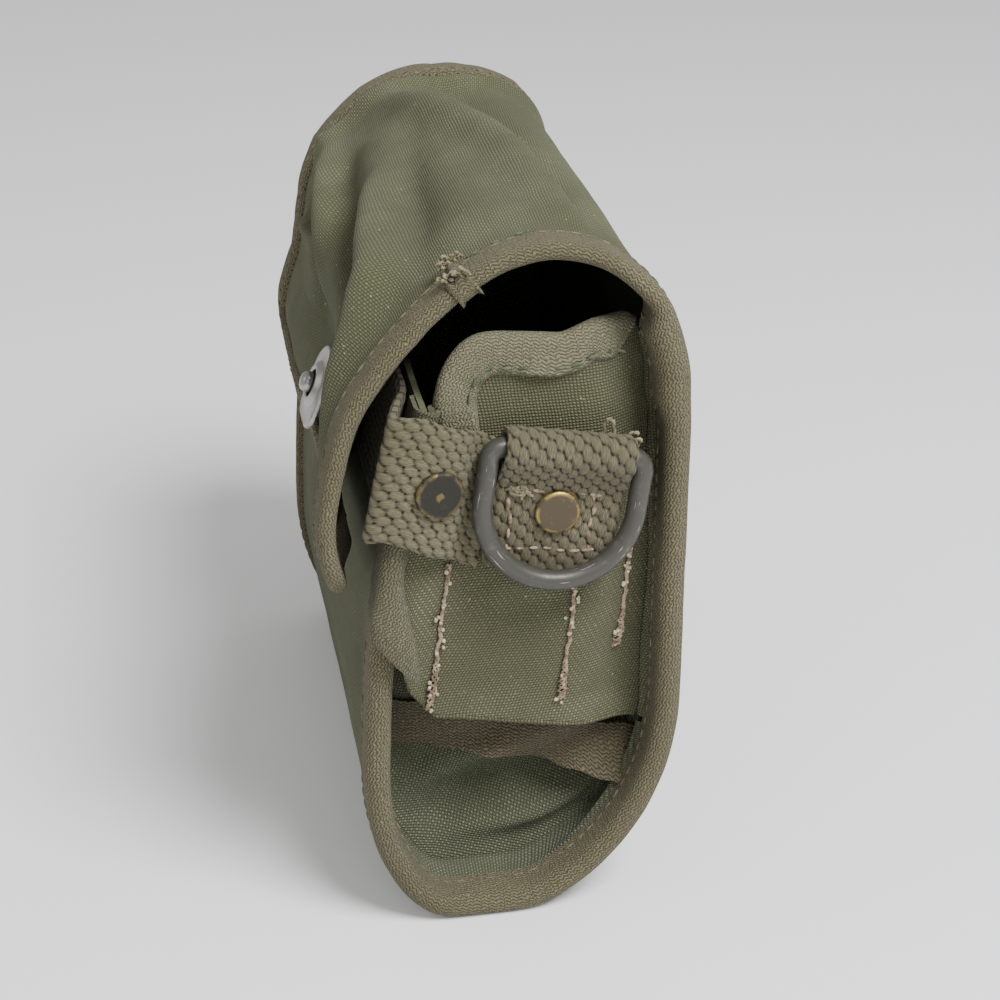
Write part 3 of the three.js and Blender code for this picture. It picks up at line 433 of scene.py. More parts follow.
# Folded tape
def folded_tape(name, station_count, place, thickness, material, inner_reach=BINDING, seed=1, wave=0.25):
    """Tape folded over an edge. place(station indices, reach in from the edge, depth under the outside)."""
    leaf, turn = 9, 9
    station = np.arange(station_count)[:, None]
    thick = np.broadcast_to(np.asarray(thickness, float).reshape(-1, 1), (station_count, 1))
    drift = noise_line(station_count, 0.045, seed * 3.7, 0.4)[:, None]
    half = thick / 2
    angle = np.linspace(0, np.pi, turn)[None]
    out_leaf = np.linspace(1, 0, leaf, endpoint=False)[None]
    in_leaf = out_leaf[:, ::-1]

    def section(inward):
        bend = half - inward
        outer = half + (BINDING + wave * drift - half) * out_leaf
        arc = half - bend * np.sin(angle)
        inner = half + (inner_reach - wave * drift - half) * np.concatenate([in_leaf[:, 1:], [[1]]], 1)
        reach = np.concatenate([outer, arc, inner], 1)
        low = np.broadcast_to(inward, outer.shape)
        high = np.broadcast_to(thick - inward, inner.shape)
        return reach, np.concatenate([low, half - bend * np.cos(angle), high], 1)

    reach, depth = section(0.0)
    depth[:, 0] += 0.6 * TAPE + GAP
    depth[:, -1] -= 0.6 * TAPE + GAP
    press = 0.12 * noise_line(station_count, 0.11, seed * 1.9, 5.4)[:, None]
    top = place(station, reach, depth - press)
    reach_in, depth_in = section(TAPE)
    depth_in[:, 0] += GAP
    depth_in[:, -1] -= GAP
    under = place(station, reach_in, depth_in - press)
    uv = np.stack([cloth_run(top, 0)[:, [leaf + turn // 2]] + 0 * reach, cloth_run(top, 1)], -1)
    return layered(name, top, under, uv, material, "binding_tape")


def flap_edge_stations():
    sides = np.linspace(JOIN, FLAP_CORNER, 130)
    angle = np.linspace(0, np.pi / 2, 22)[1:-1]
    lower = np.linspace(RIM_X - FLAP_CORNER, -(RIM_X - FLAP_CORNER), 190)
    right = np.vstack([
        np.stack([np.full_like(sides, RIM_X), sides, np.full_like(sides, -1), np.zeros_like(sides)], 1),
        np.stack([
            RIM_X - FLAP_CORNER * (1 - np.cos(angle)), FLAP_CORNER * (1 - np.sin(angle)),
            -np.cos(angle), np.sin(angle),
        ], 1),
    ])
    middle = np.stack([lower, np.zeros_like(lower), np.zeros_like(lower), np.ones_like(lower)], 1)
    return np.vstack([right, middle, right[::-1] * (-1, 1, -1, 1)])


TAPE_OVER_CANVAS = 2 * TAPE + 2 * GAP + CANVAS


def flap_edge_tape(material):
    stations = flap_edge_stations()
    x, c, in_x, in_c = (stations[:, [k]] for k in range(4))

    def place(_, reach, depth):
        return skin(x + in_x * reach, c + in_c * reach, depth)

    piece = folded_tape("flap_edge_tape", len(stations), place, [TAPE_OVER_CANVAS], material, seed=3)
    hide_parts("flap_edge_binding")


def rim_tape(side, name, material):
    c = np.linspace(JOIN, FOLD_FRONT_RUN - GAP, 420)[:, None]

    def place(_, reach, depth):
        return skin(side * (RIM_X - reach), c, depth)

    piece = folded_tape(f"{name}_rim_tape", len(c), place, rim_thickness(c), material, seed=5 + side)
    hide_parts(f"{name}_rim_binding")


def front_tape(side, name, material):
    c = np.linspace(FOLD_FRONT_RUN - 3, LIP, 100)[:, None]
    thick = [float(rim_thickness(LIP))]
    loose = smoothstep(FOLD_FRONT_RUN + 13 - c, 0, 14)

    def place(_, reach, depth):
        share = np.clip(depth / thick[0], 0, 1)
        slant = c - loose * (11 * share - 4)
        return mirror_to(side, skin(RIM_X - reach + 3.2 * loose, slant, depth - 0.7 * loose + 5.5 * loose * share))

    piece = folded_tape(f"{name}_front_tape", len(c), place, thick, material, FRONT_LEAF, seed=9 + side)
    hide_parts(f"{name}_front_binding")


# End gussets, described at the right end
def gusset_face(across):
    front, tab, back = RIM_X - FRONT_RECESS, RIM_X - MIDDLE_RECESS, RIM_X - BACK_RECESS
    face = front + (tab - front) * smoothstep(across, -0.12, 0.24)
    return face + (back - face) * smoothstep(across, 0.66, 1.06) - CANVAS / 2


def gusset_point(across, v):
    """Middle of the upper gusset's cloth. across runs from the front rim to the back, v from the fold up."""
    across, v = np.broadcast_arrays(np.asarray(across, float), np.asarray(v, float))
    front_c = FOLD_FRONT_RUN + TURN + (LIP - FOLD_FRONT_RUN - TURN) * v
    back_c = FOLD_BACK_RUN + (BODY_TOP - FOLD_BACK_RUN) * v
    front = skin(RIM_X, front_c, flange_inset(front_c) + CANVAS / 2 + TURN)
    back = skin(RIM_X, back_c, flange_inset(back_c) + CANVAS / 2 + TURN)
    point = front + (back - front) * across[..., None]
    point[..., 2] += BAG_HEIGHT * table_value(MOUTH_RISE, across) * smoothstep(v, 0.4, 0.95)
    point[..., 2] += BAG_HEIGHT * table_value(FOLD_RISE, across) * (1 - smoothstep(v, 0, 0.6))
    point[..., 0] = gusset_face(across)
    return point


def turned_edge(c, face_x, flange_steps=5, turn_steps=5, ridge=0.0):
    """Flange along the rim and the turn into the face: points and outward directions, one row for each c."""
    inset = flange_inset(c) + CANVAS / 2
    ridge = np.broadcast_to(ridge, c.shape)[:, None]
    inwards = -outward_at(c)[:, None]
    outwards = np.array([1.0, 0, 0])
    x_flange = np.linspace(EDGE_X, face_x + TURN, flange_steps, endpoint=False)
    roll = ridge * bell(x_flange[None] - LEAF_X + 1.2, 1.3)
    flange = skin(x_flange[None], c[:, None], inset[:, None] + roll)
    angle = np.linspace(0, np.pi / 2, turn_steps + 1)[:-1]
    arc_x = face_x + TURN * (1 - np.sin(angle))
    arc = skin(arc_x[None], c[:, None], inset[:, None] + TURN * (1 - np.cos(angle))[None])
    sine, cosine = np.sin(angle)[None, :, None], np.cos(angle)[None, :, None]
    arc_out = unit(sine * outwards + cosine * inwards)
    flange_out = np.broadcast_to(inwards, flange.shape)
    return np.concatenate([flange, arc], 1), np.concatenate([flange_out, arc_out], 1)


def gusset_relief(point):
    """Soft creases of the upper gusset: slack under the tab, a pull at the front corner."""
    y, z = point[..., 1], point[..., 2]
    slack = 0.5 * bell(z - 62 - 0.22 * y, 6) - 0.35 * bell(z - 52 + 0.3 * y, 5)
    corner = -0.8 * bell(y + 22 - 0.55 * (z - 52), 3.2) * smoothstep(z, 74, 56)
    back = -1.3 * bell(y - 22, 4.5) * bell(z - 60, 22)
    return slack + corner + back


def end_cloth(side, name, material):
    v = np.linspace(0, 1, 110)
    front_c = FOLD_FRONT_RUN + TURN + (LIP - FOLD_FRONT_RUN - TURN) * v
    back_c = FOLD_BACK_RUN + (BODY_TOP - FOLD_BACK_RUN) * v
    front, front_out = turned_edge(front_c, gusset_face(0.0))
    back, back_out = turned_edge(back_c, gusset_face(1.0), 20, 6, 2.1 + 0.5 * np.sin(back_c * 0.13))
    across = np.linspace(0, 1, 92)
    face = gusset_point(across[None], v[:, None])
    free = smoothstep(across, 0.0, 0.16) * smoothstep(1 - across, 0, 0.1)
    calm = smoothstep(v, 0.0, 0.1)[:, None]
    relief = gusset_relief(face) * free[None] * calm * smoothstep(1 - v, 0.1, 0.3)[:, None]
    face[..., 0] += relief + free[None] * rumple(face, 12, 0.2, 11 + side)
    face_out = np.broadcast_to(np.array([1.0, 0, 0]), face.shape)
    points = np.concatenate([front, face, back[:, ::-1]], 1)
    out = np.concatenate([front_out, face_out, back_out[:, ::-1]], 1)
    uv = np.stack([points[..., 1] - 0.12 * points[..., 2], points[..., 2]], -1)
    uv[..., 0] += cloth_run(points, 1) - (points[..., 1] - points[:, :1, 1])
    piece = canvas_sheet(f"{name}_end_cloth", side, points, out, uv, material)
    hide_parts(f"{name}_end_upper_panel")

    # The pleat's cloth, turned round the fold and up behind it
    radius = (CANVAS + 2 * GAP) / 2
    along = np.linspace(0.03, 0.97, 90)
    fold = gusset_point(along, np.zeros_like(along))[:, None]
    angle = np.linspace(0.02, np.pi, 14)
    out = np.stack([np.cos(angle), np.zeros_like(angle), -np.sin(angle)], -1)[None]
    turn = fold + out * radius - (radius, 0, 0)
    raised = turn[:, -1:] + np.array([0.0, 0, 1]) * np.linspace(0.8, 11, 12)[None, :, None]
    points = np.concatenate([turn, raised], 1)
    out = np.concatenate([np.broadcast_to(out, turn.shape), np.broadcast_to([-1.0, 0, 0], raised.shape)], 1)
    uv = np.stack([points[..., 1], cloth_run(points, 1)], -1)
    canvas_sheet(f"{name}_pleat_cloth", side, points, out, uv, material)


def mouth_lines():
    """Edge of the mouth from the back to the front corner and round it, and the tape's lower edge beside it."""
    across = np.linspace(0.97, 0.0, 200)
    top = gusset_point(across, 1.0)[:, 1:]
    end = top[-1:] + np.array([[0.6, -2.0], [1.0, -9.0]])
    line = softened(even_steps(np.vstack([top, end]), 150), 6)
    slope = unit(np.gradient(line, axis=0))
    inward = np.stack([-slope[:, 1], slope[:, 0]], 1)
    lower = softened(line + inward * BINDING, 10)
    return line, (lower - line) / BINDING


def mouth_place(reach, depth, line, inward):
    """Points of the mouth's tape from the reach below its edge and the depth under its outside."""
    yz = line[:, None] + inward[:, None] * (reach - TAPE - GAP)[..., None]
    edge = gusset_point(np.linspace(0, 1, 60), 1.0)
    face = np.interp(yz[..., 0], edge[:, 1], edge[:, 0])
    return np.concatenate([(face + CANVAS / 2 + GAP + TAPE - depth)[..., None], yz], -1)


def mouth_tape(side, name, material):
    line, inward = mouth_lines()

    def place(_, reach, depth):
        puff = 0.5 * np.sin(np.arange(len(line)) * 0.15)[:, None] * smoothstep(reach, 3, BINDING)
        return mirror_to(side, mouth_place(reach, depth - puff * (depth < TAPE + GAP), line, inward))

    piece = folded_tape(f"{name}_mouth_tape", len(line), place, [TAPE_OVER_CANVAS], material, seed=13 + side)
    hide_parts(f"{name}_mouth_binding")


LOWER_X = RIM_X - LOWER_RECESS - CANVAS / 2
LOWER_BACK = FOLD_BACK_RUN + 1.5
LOWER_FRONT = FOLD_FRONT_RUN - BINDING


def lower_edge(share):
    share = np.asarray(share, float)[..., None]
    front = skin(LOWER_X, LOWER_FRONT, flange_inset(LOWER_FRONT) + CANVAS / 2 + TURN)
    back = skin(LOWER_X, LOWER_BACK, flange_inset(LOWER_BACK) + CANVAS / 2 + TURN)
    return back + (front - back) * share + (0, 0, 4)


def lower_relief(points):
    """Diagonal folds of the recessed cloth, running down from the back towards the front."""
    y, z = points[..., 1], points[..., 2]
    across = z - 0.48 * y
    fold = 3.4 * bell(across - 11.5, 5.0) - 1.6 * bell(across - 3, 4.0)
    fold += 2.6 * bell(across - 34, 4.6) - 1.4 * bell(across - 25, 5.0)
    return fold * smoothstep(z, 6, 14) * smoothstep(y, -27, -12)


def lower_cloth(side, name, material):
    c = np.linspace(LOWER_BACK, LOWER_FRONT, 140)
    edge, edge_out = turned_edge(c, LOWER_X, 16, 6, 2.0 * smoothstep(LOWER_BACK + 52 - c, 0, 30))
    start = skin(LOWER_X, c, flange_inset(c) + CANVAS / 2 + TURN)[:, None]
    end = lower_edge((c - LOWER_BACK) / (LOWER_FRONT - LOWER_BACK))[:, None]
    t = np.linspace(0, 1, 46)[None, :, None]
    fan = start + (end - start) * t
    middle_z = float(lower_edge(0.5)[2]) - LAP
    low = np.clip((middle_z - fan[..., 2]) / (BAG_HEIGHT * 0.09), 0, 1)
    dish = 3.5 * low * np.sin(np.pi * np.minimum(1, t[..., 0] * 1.4))
    inner = smoothstep(t[..., 0], 0, 0.18)
    fan[..., 0] += inner * lower_relief(fan) - dish + inner * rumple(fan, 9, 0.25, 17 + side)
    points = np.concatenate([edge, fan], 1)
    out = np.concatenate([edge_out, np.broadcast_to([1.0, 0, 0], fan.shape)], 1)
    flat = points[..., 1:].copy()
    steps = cloth_run(points, 1)
    turn = edge.shape[1]
    outward = unit(edge[:, :1, 1:] - end[..., 1:])
    flat[:, :turn] = flat[:, [turn]] + outward * (steps[:, [turn]] - steps[:, :turn])[..., None]
    uv = np.stack([flat[..., 0] - 0.3 * flat[..., 1], flat[..., 1] + 0.3 * flat[..., 0]], -1)
    piece = canvas_sheet(f"{name}_lower_cloth", side, points, out, uv, material)
    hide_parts(f"{name}_end_lower_panel")


def seam_strip(side, name, material):
    share = np.linspace(0, 1, 110)[:, None]
    drop = np.linspace(0, SEAM_WIDTH, 14)[None]
    height = (SEAM_BACK + (SEAM_FRONT - SEAM_BACK) * share) * BAG_HEIGHT + SEAM_WIDTH
    points = np.zeros(np.broadcast_shapes(share.shape, drop.shape) + (3,))
    points[..., 0] = LOWER_X + CANVAS / 2 + GAP
    points[..., 2] = height - drop + 0.25 * np.sin(share * 40)
    back, front = outline_yz[crest_index:base_index][::-1], outline_yz[base_index:]
    depth = float(flange_inset(LOWER_BACK)) + CANVAS
    back_y = np.interp(points[..., 2], back[:, 1], back[:, 0]) - depth
    front_y = np.interp(points[..., 2], front[:, 1], front[:, 0]) + depth
    points[..., 1] = back_y + (front_y - back_y) * share
    lifted = 5.0 * smoothstep(0.46 - share, 0, 0.3) * (0.25 + 0.75 * drop / SEAM_WIDTH)
    points[..., 0] += lower_relief(points) + rumple(points, 8, 0.3, 23) + lifted
    top = points + (TAPE, 0, 0)
    uv = columns(points[..., 1], drop)
    faces = mirror_to(side, top), mirror_to(side, points)
    piece = layered(f"{name}_seam_strip", *faces, uv, material, "binding_tape")
    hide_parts(f"{name}_seam_tape")


# Webbing: coarse oval knots in relief
KNOT_LENGTH, KNOT_WIDTH = 3.1, 1.75


def knots(u, v):
    """Height from 0 to 1 of a plait of oval knots, from lengths along and across the webbing."""
    row = v / KNOT_WIDTH
    near = np.floor(row)
    height = np.zeros(np.broadcast_shapes(np.shape(u), np.shape(v)))
    for step in (-1, 0, 1):
        line = near + step
        across = row - line - 0.5
        sway = 0.12 * np.sin(line * 2.3)
        cell = (u + sway) / KNOT_LENGTH + 0.5 * np.mod(line, 2)
        along = (cell - np.floor(cell) - 0.5) + 0.16 * across
        oval = 1 - (along / 0.56) ** 2 - (across / 0.68) ** 2
        height = np.maximum(height, np.sqrt(np.maximum(0, oval)))
    return height


def webbing_strip(name, centre, out, u, v, material, relief=0.55):
    """Webbing between a woven outer and inner face. u and v are lengths along and across it."""
    border = smoothstep(v, v.min(), v.min() + 1.1) * smoothstep(v.max() - v, 0, 1.1)
    rounded = 0.45 + 0.55 * np.sqrt(np.clip(border, 0, 1))
    weave = knots(u, v)
    worn = 1 + 0.25 * rumple(centre, 6, 1.0, 31)
    half = WEBBING / 2
    face = (half - relief + relief * weave * worn) * rounded
    back = (half - relief + relief * knots(u + 1.5, v + 0.9)) * rounded
    top, under = centre + out * face[..., None], centre - out * back[..., None]
    uv = columns(u, v)
    piece = layered(name, top, under, uv, material, "webbing")
    layer = piece.data.attributes.new("relief", "FLOAT", "POINT")
    layer.data.foreach_set("value", np.tile(weave.ravel(), 2).astype(np.float32))
    return piece


def smooth_path(controls, count):
    """Rounded line through rows of control points: controls has shape (points, rows, 3)."""
    path = controls
    for _ in range(4):
        near, far = path[:-1] * 0.75 + path[1:] * 0.25, path[:-1] * 0.25 + path[1:] * 0.75
        middle = np.stack([near, far], 1).reshape(-1, *path.shape[1:])
        path = np.concatenate([path[:1], middle, path[-1:]])
    run = path_run(path[:, path.shape[1] // 2])
    at = np.linspace(0, run[-1], count)
    k = np.clip(np.searchsorted(run, at) - 1, 0, len(run) - 2)
    w = ((at - run[k]) / np.maximum(run[k + 1] - run[k], 1e-9))[:, None, None]
    return path[k] * (1 - w) + path[k + 1] * w, at


TAB_SEAT = np.array([RIM_X - MIDDLE_RECESS, *section_point(0.375, 0.717)])
STRAP_MIDDLE = BAG_HEIGHT * 0.703
STRAP_RIVET_REACH = 10.2


def strap_end_y(level):
    slant = TAB_SEAT[1] - TAB_WIDTH / 2 / math.cos(TAB_TILT)
    return slant - (TAB_SEAT[2] - level + STRAP_DROP) * math.tan(TAB_TILT) - 2 * GAP


def strap_controls(level):
    """Path of the strap at one height of the front corner."""
    c = run_at_height(level, base_index, 999)
    corner = float(skin(RIM_X, c, 0)[1])
    stand = GAP + WEBBING / 2
    seat = TAB_SEAT[0] + stand
    past_rim = corner + float(rim_thickness(LIP)) + 2 * GAP
    run_start = LEAF_X - STRAP_RUN
    end_y = strap_end_y(level)

    def on_wall(x):
        return float(skin(x, c, INSET - stand - 0.1)[1])

    half_way = (run_start + LEAF_X) / 2
    path = np.array([
        (run_start, on_wall(run_start)), (half_way, on_wall(half_way)), (LEAF_X - 4, on_wall(LEAF_X - 4)),
        (LEAF_X + 1, corner - stand - 0.8), (RIM_X - 1.5, corner - stand - 2.4),
        (RIM_X + stand + 0.2, corner - stand - 3.2), (RIM_X + stand + 0.6, corner + 0.4), (RIM_X + stand, past_rim),
        (RIM_X + stand + 0.36 * (seat - RIM_X - stand), past_rim + 0.38 * (end_y - past_rim)),
        (RIM_X + stand + 0.97 * (seat - RIM_X - stand), past_rim + 0.6 * (end_y - past_rim)),
        (seat, end_y),
    ])
    return np.column_stack([path, np.full(len(path), level)])


def ring_strap(side, name, material):
    rows, middle = 84, 42
    across = np.linspace(-1, 1, rows)
    controls = np.stack([strap_controls(STRAP_MIDDLE + k * STRAP_WIDTH / 2) for k in across], 1)
    corner, end = controls[6, :, 1], controls[-1, :, 1]
    way = np.clip((controls[..., 1] - corner) / (end - corner), 0, 1)
    way[:6] = 0
    controls[..., 2] += way * (across * 2 * STRAP_FLARE - STRAP_DROP)
    path, run = smooth_path(controls, 190)
    out = -grid_normals(path)
    out *= np.sign(out[-40, middle, 0])
    v = (across * STRAP_WIDTH / 2)[None]
    fray = 0.35 * noise_line(len(run), 0.21, 3.3, 1.7)
    path[..., 2] += fray[:, None] * across[None] ** 3
    bow = 0.35 * np.sin(np.pi * np.clip((run[:, None] - 45) / 22, 0, 1)) * (1 - across[None] ** 2)
    path = path + out * bow[..., None]
    grid, outward = mirror_to(side, path), mirror_to(side, out)
    piece = webbing_strip(f"{name}_ring_strap_webbing", grid, outward, run[:, None], v, material)
    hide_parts(f"{name}_ring_strap")
    rivet_y = strap_end_y(STRAP_MIDDLE) - STRAP_RIVET_REACH
    k = int(np.argmin(np.abs(path[90:, middle, 1] - rivet_y))) + 90
    return path[k, middle], unit(out[k, middle] * (1, 0.5, 0.5))


# Hanger: the tab's own frame at the ring's bar
EYE = WIRE / 2 + GAP
FOLD = EYE + WEBBING
BAR_X = TAB_SEAT[0] + GAP + FOLD


def hang(side, points):
    """From the tab's frame, with the bar at its origin, to the pouch."""
    x, y, z = (np.asarray(points)[..., k] for k in range(3))
    cosine, sine = math.cos(TAB_TILT), math.sin(TAB_TILT)
    placed = np.stack([BAR_X + x, TAB_SEAT[1] + y * cosine + z * sine, TAB_SEAT[2] - y * sine + z * cosine], -1)
    return mirror_to(side, placed)


def ring_tab(side, name, material):
    radius = EYE + WEBBING / 2
    front_x, back_x = -WEBBING / 2, -FOLD + WEBBING / 2
    angle = np.radians(np.linspace(-28, 180, 60))
    around = np.stack([radius * np.cos(angle), radius * np.sin(angle)], 1)
    leave = around[0]
    t = np.linspace(0, 1, 26)[:, None]
    first = np.array([front_x, -9.5])
    tangent = np.array([-math.sin(angle[0]), math.cos(angle[0])]) * -1
    ease = (2 * t**3 - 3 * t**2 + 1) * first + (t**3 - 2 * t**2 + t) * np.array([0, 9.0])
    ease = ease + (-2 * t**3 + 3 * t**2) * leave - (t**3 - t**2) * tangent * 6
    lower = np.stack([np.full(50, front_x), np.linspace(-TAB_LENGTH, -9.5, 50, endpoint=False)], 1)
    back = np.stack([np.full(60, back_x), np.linspace(0, -TAB_LENGTH + 0.4, 61)[1:]], 1)
    section = even_steps(np.vstack([lower, ease[:-1], around, back]), 200)
    run = path_run(section)
    slope = unit(np.gradient(section, run, axis=0))
    width = np.linspace(-TAB_WIDTH / 2, TAB_WIDTH / 2, 84)
    centre = np.zeros((len(section), len(width), 3))
    centre[..., 0] = section[:, [0]]
    centre[..., 2] = section[:, [1]]
    edge = 0.3 * noise_line(len(run), 0.17, 8.1, side)
    centre[..., 1] = width[None] + edge[:, None] * (width[None] / 12.7) ** 3
    low_edge = 0.5 * noise_line(len(width), 0.19, 2.2, side)
    centre[..., 2] += low_edge[None] * smoothstep(-section[:, [1]], TAB_LENGTH - 4, TAB_LENGTH)
    centre[..., 0] += 0.25 * np.sin(width / 12.7 * 1.4 + 0.5)[None] * smoothstep(-section[:, [1]], 6, 20)
    out = np.zeros_like(centre)
    out[..., 0] = slope[:, [1]]
    out[..., 2] = -slope[:, [0]]
    grid = hang(side, centre)
    outward = hang(side, centre + out) - grid
    piece = webbing_strip(f"{name}_ring_tab_webbing", grid, outward, run[:, None], width[None], material, 0.5)
    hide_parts(f"{name}_ring_tab")


BOW = (RING_WIDTH - WIRE) / 2
CROSSING = math.sqrt(max(1, BOW**2 - (TAB_WIDTH / 2) ** 2))
LEAN = math.asin((WIRE / 2 + GAP) / (RING_HEIGHT - WIRE / 2 - BOW + CROSSING))


def d_ring(side, name, material):
    bow_z = -(RING_HEIGHT - WIRE / 2 - BOW)
    bar = np.linspace(-BOW + RING_CORNER, BOW - RING_CORNER, 24)
    corner = np.linspace(0, np.pi / 2, 12)[1:]
    bow = np.linspace(0, np.pi, 90)
    path = np.vstack([
        np.stack([bar, 0 * bar], 1),
        np.stack([BOW - RING_CORNER * (1 - np.sin(corner)), -RING_CORNER * (1 - np.cos(corner))], 1),
        np.stack([BOW * np.cos(bow), bow_z - BOW * np.sin(bow)], 1),
        np.stack([-BOW + RING_CORNER * (1 - np.sin(corner)), -RING_CORNER * (1 - np.cos(corner))], 1)[::-1],
    ])
    path = even_steps(np.vstack([path, path[:1]]), 181)[:-1]
    path = np.column_stack([np.zeros(len(path)), path])
    points, faces, uv = ring_mesh(path, WIRE / 2, 22)
    cosine, sine = math.cos(-LEAN), math.sin(-LEAN)
    x, z = points[:, 0] * cosine + points[:, 2] * sine, -points[:, 0] * sine + points[:, 2] * cosine
    turned = hang(side, np.stack([x, points[:, 1], z], 1))
    piece = finished(f"{name}_d_ring_wire", turned, faces, uv, material, f"{name}_ring")
    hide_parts(f"{name}_d_ring")


def lathe(name, profile, seat, axis, material, sides=48):
    """Round piece turned about an axis. profile holds radius and height, from bottom to top."""
    profile = np.array(profile, float)
    axis = np.asarray(axis, float) / np.linalg.norm(axis)
    side = unit(np.cross(axis, (0.2, 0.3, 0.9)))
    up = np.cross(axis, side)
    angle = np.linspace(0, 2 * np.pi, sides, endpoint=False)
    radius = np.maximum(profile[:, 0], 0.01)[:, None, None]
    ring = np.cos(angle)[None, :, None] * side + np.sin(angle)[None, :, None] * up
    points = (seat + radius * ring + profile[:, 1][:, None, None] * axis).reshape(-1, 3)
    index = np.arange(len(profile) * sides).reshape(len(profile), sides)
    quads = np.stack([index[:-1], np.roll(index[:-1], -1, 1), np.roll(index[1:], -1, 1), index[1:]], -1)
    caps = []
    for ring_index, turned in ((index[0], True), (index[-1], False)):
        half = sides // 2
        for k in range(half - 1):
            quad = [ring_index[k], ring_index[k + 1], ring_index[sides - 2 - k], ring_index[sides - 1 - k]]
            caps.append(quad[::-1] if turned else quad)
    uv = columns(radius[..., 0] * np.cos(angle), radius[..., 0] * np.sin(angle)).reshape(-1, 2)
    faces = np.vstack([quads.reshape(-1, 4), caps])
    return finished(name, points, faces, uv, material, sharp=38)


def rivet_profile(head, grip, dish=0.0):
    radius = head / 2
    return [
        (radius * 0.55, -grip - 0.7), (radius * 0.55, -grip), (1.5, -grip), (1.5, -0.25), (radius - 0.3, -0.25),
        (radius - 0.06, -0.1), (radius, 0.15), (radius - 0.02, 0.42), (radius - 0.14, 0.66), (radius - 0.4, 0.86),
        (radius - 0.75, 0.97), (radius - 1.2, 1.0 - dish * 0.4), (radius * 0.6, 1.0 - dish),
        (radius * 0.3, 1.02 - dish), (0.4, 1.04 - dish),
    ]


# Node trees
def connect(socket, value):
    """A socket takes a link, a plain value, or three values of a colour."""
    if isinstance(value, bpy.types.NodeSocket):
        socket.id_data.links.new(value, socket)
    else:
        socket.default_value = (*value, 1) if socket.type == "RGBA" else value


def add_node(tree, kind, inputs=None, **settings):
    node = tree.nodes.new(kind)
    for setting, value in settings.items():
        setattr(node, setting, value)
    for key, value in (inputs or {}).items():
        connect(node.inputs[key], value)
    return node.outputs


def node_group(name, inputs, outputs, kind="ShaderNodeTree"):
    """A new group, the outputs of its input node and the inputs of its output node."""
    group = bpy.data.node_groups.new(name, kind)
    for label, socket_kind, value in inputs:
        socket = group.interface.new_socket(name=label, in_out="INPUT", socket_type=f"NodeSocket{socket_kind}")
        if value is not None:
            socket.default_value = value
    for label, socket_kind in outputs:
        group.interface.new_socket(name=label, in_out="OUTPUT", socket_type=f"NodeSocket{socket_kind}")
    return group, group.nodes.new("NodeGroupInput").outputs, group.nodes.new("NodeGroupOutput").inputs


def math_node(operation, *values, clamp=False):
    tree = next(value.id_data for value in values if isinstance(value, bpy.types.NodeSocket))
    return add_node(tree, "ShaderNodeMath", dict(enumerate(values)), operation=operation, use_clamp=clamp)[0]


times, plus, minus, divided = (partial(math_node, name) for name in ("MULTIPLY", "ADD", "SUBTRACT", "DIVIDE"))
times_plus, larger, absolute = (partial(math_node, name) for name in ("MULTIPLY_ADD", "MAXIMUM", "ABSOLUTE"))


def half_waves(value):
    return math_node("SINE", times(value, math.pi))


def separated(vector):
    return add_node(vector.id_data, "ShaderNodeSeparateXYZ", {0: vector})


def noise_node(vector, scale, detail=2.0, roughness=0.5, stretch=(1, 1, 1)):
    stretched = add_node(vector.id_data, "ShaderNodeMapping", {"Scale": stretch, "Vector": vector})[0]
    inputs = {"Scale": scale, "Detail": detail, "Roughness": roughness, "Vector": stretched}
    return add_node(vector.id_data, "ShaderNodeTexNoise", inputs)["Fac"]


def span(value, low, high):
    """Smooth step from 0 at low to 1 at high."""
    inputs = {"From Min": low, "From Max": high, "Value": value}
    return add_node(value.id_data, "ShaderNodeMapRange", inputs, interpolation_type="SMOOTHSTEP")[0]


def mix_colour(factor, first, second):
    return add_node(factor.id_data, "ShaderNodeMix", {"Factor": factor, 6: first, 7: second}, data_type="RGBA")[2]


# Shader node groups that several materials share
def plain_weave_group():
    """Over-and-under threads from millimetres of cloth: height, crowns of one set, a tone for each thread."""
    inputs = [("Warp Pitch", "Float", 0.6), ("Weft Pitch", "Float", 0.6), ("Wander", "Float", 0.8)]
    group, source, sink = node_group(
        "plain_weave", [("Cloth", "Vector", None), *inputs], [("Height", "Float"), ("Crown", "Float"), ("Tone", "Float")],
    )
    cloth = source["Cloth"]
    shift = times(minus(noise_node(cloth, 0.13), 0.5), source["Wander"])
    x, y, _ = separated(cloth)
    u, v = divided(plus(x, shift), source["Warp Pitch"]), divided(minus(y, shift), source["Weft Pitch"])
    cross = times(half_waves(u), half_waves(v))
    over, under = larger(cross, 0.0), times(larger(times(cross, -1.0), 0.0), 0.6)
    threads = [
        add_node(group, "ShaderNodeTexWhiteNoise", {"W": math_node("FLOOR", place)}, noise_dimensions="1D")["Value"]
        for place in (u, v)
    ]
    patchy = minus(noise_node(cloth, 0.9, 3.0, 0.6), 0.3)
    connect(sink["Height"], plus(over, under))
    connect(sink["Crown"], over)
    connect(sink["Tone"], plus(times(plus(*threads), 0.3), patchy, clamp=True))
    return group


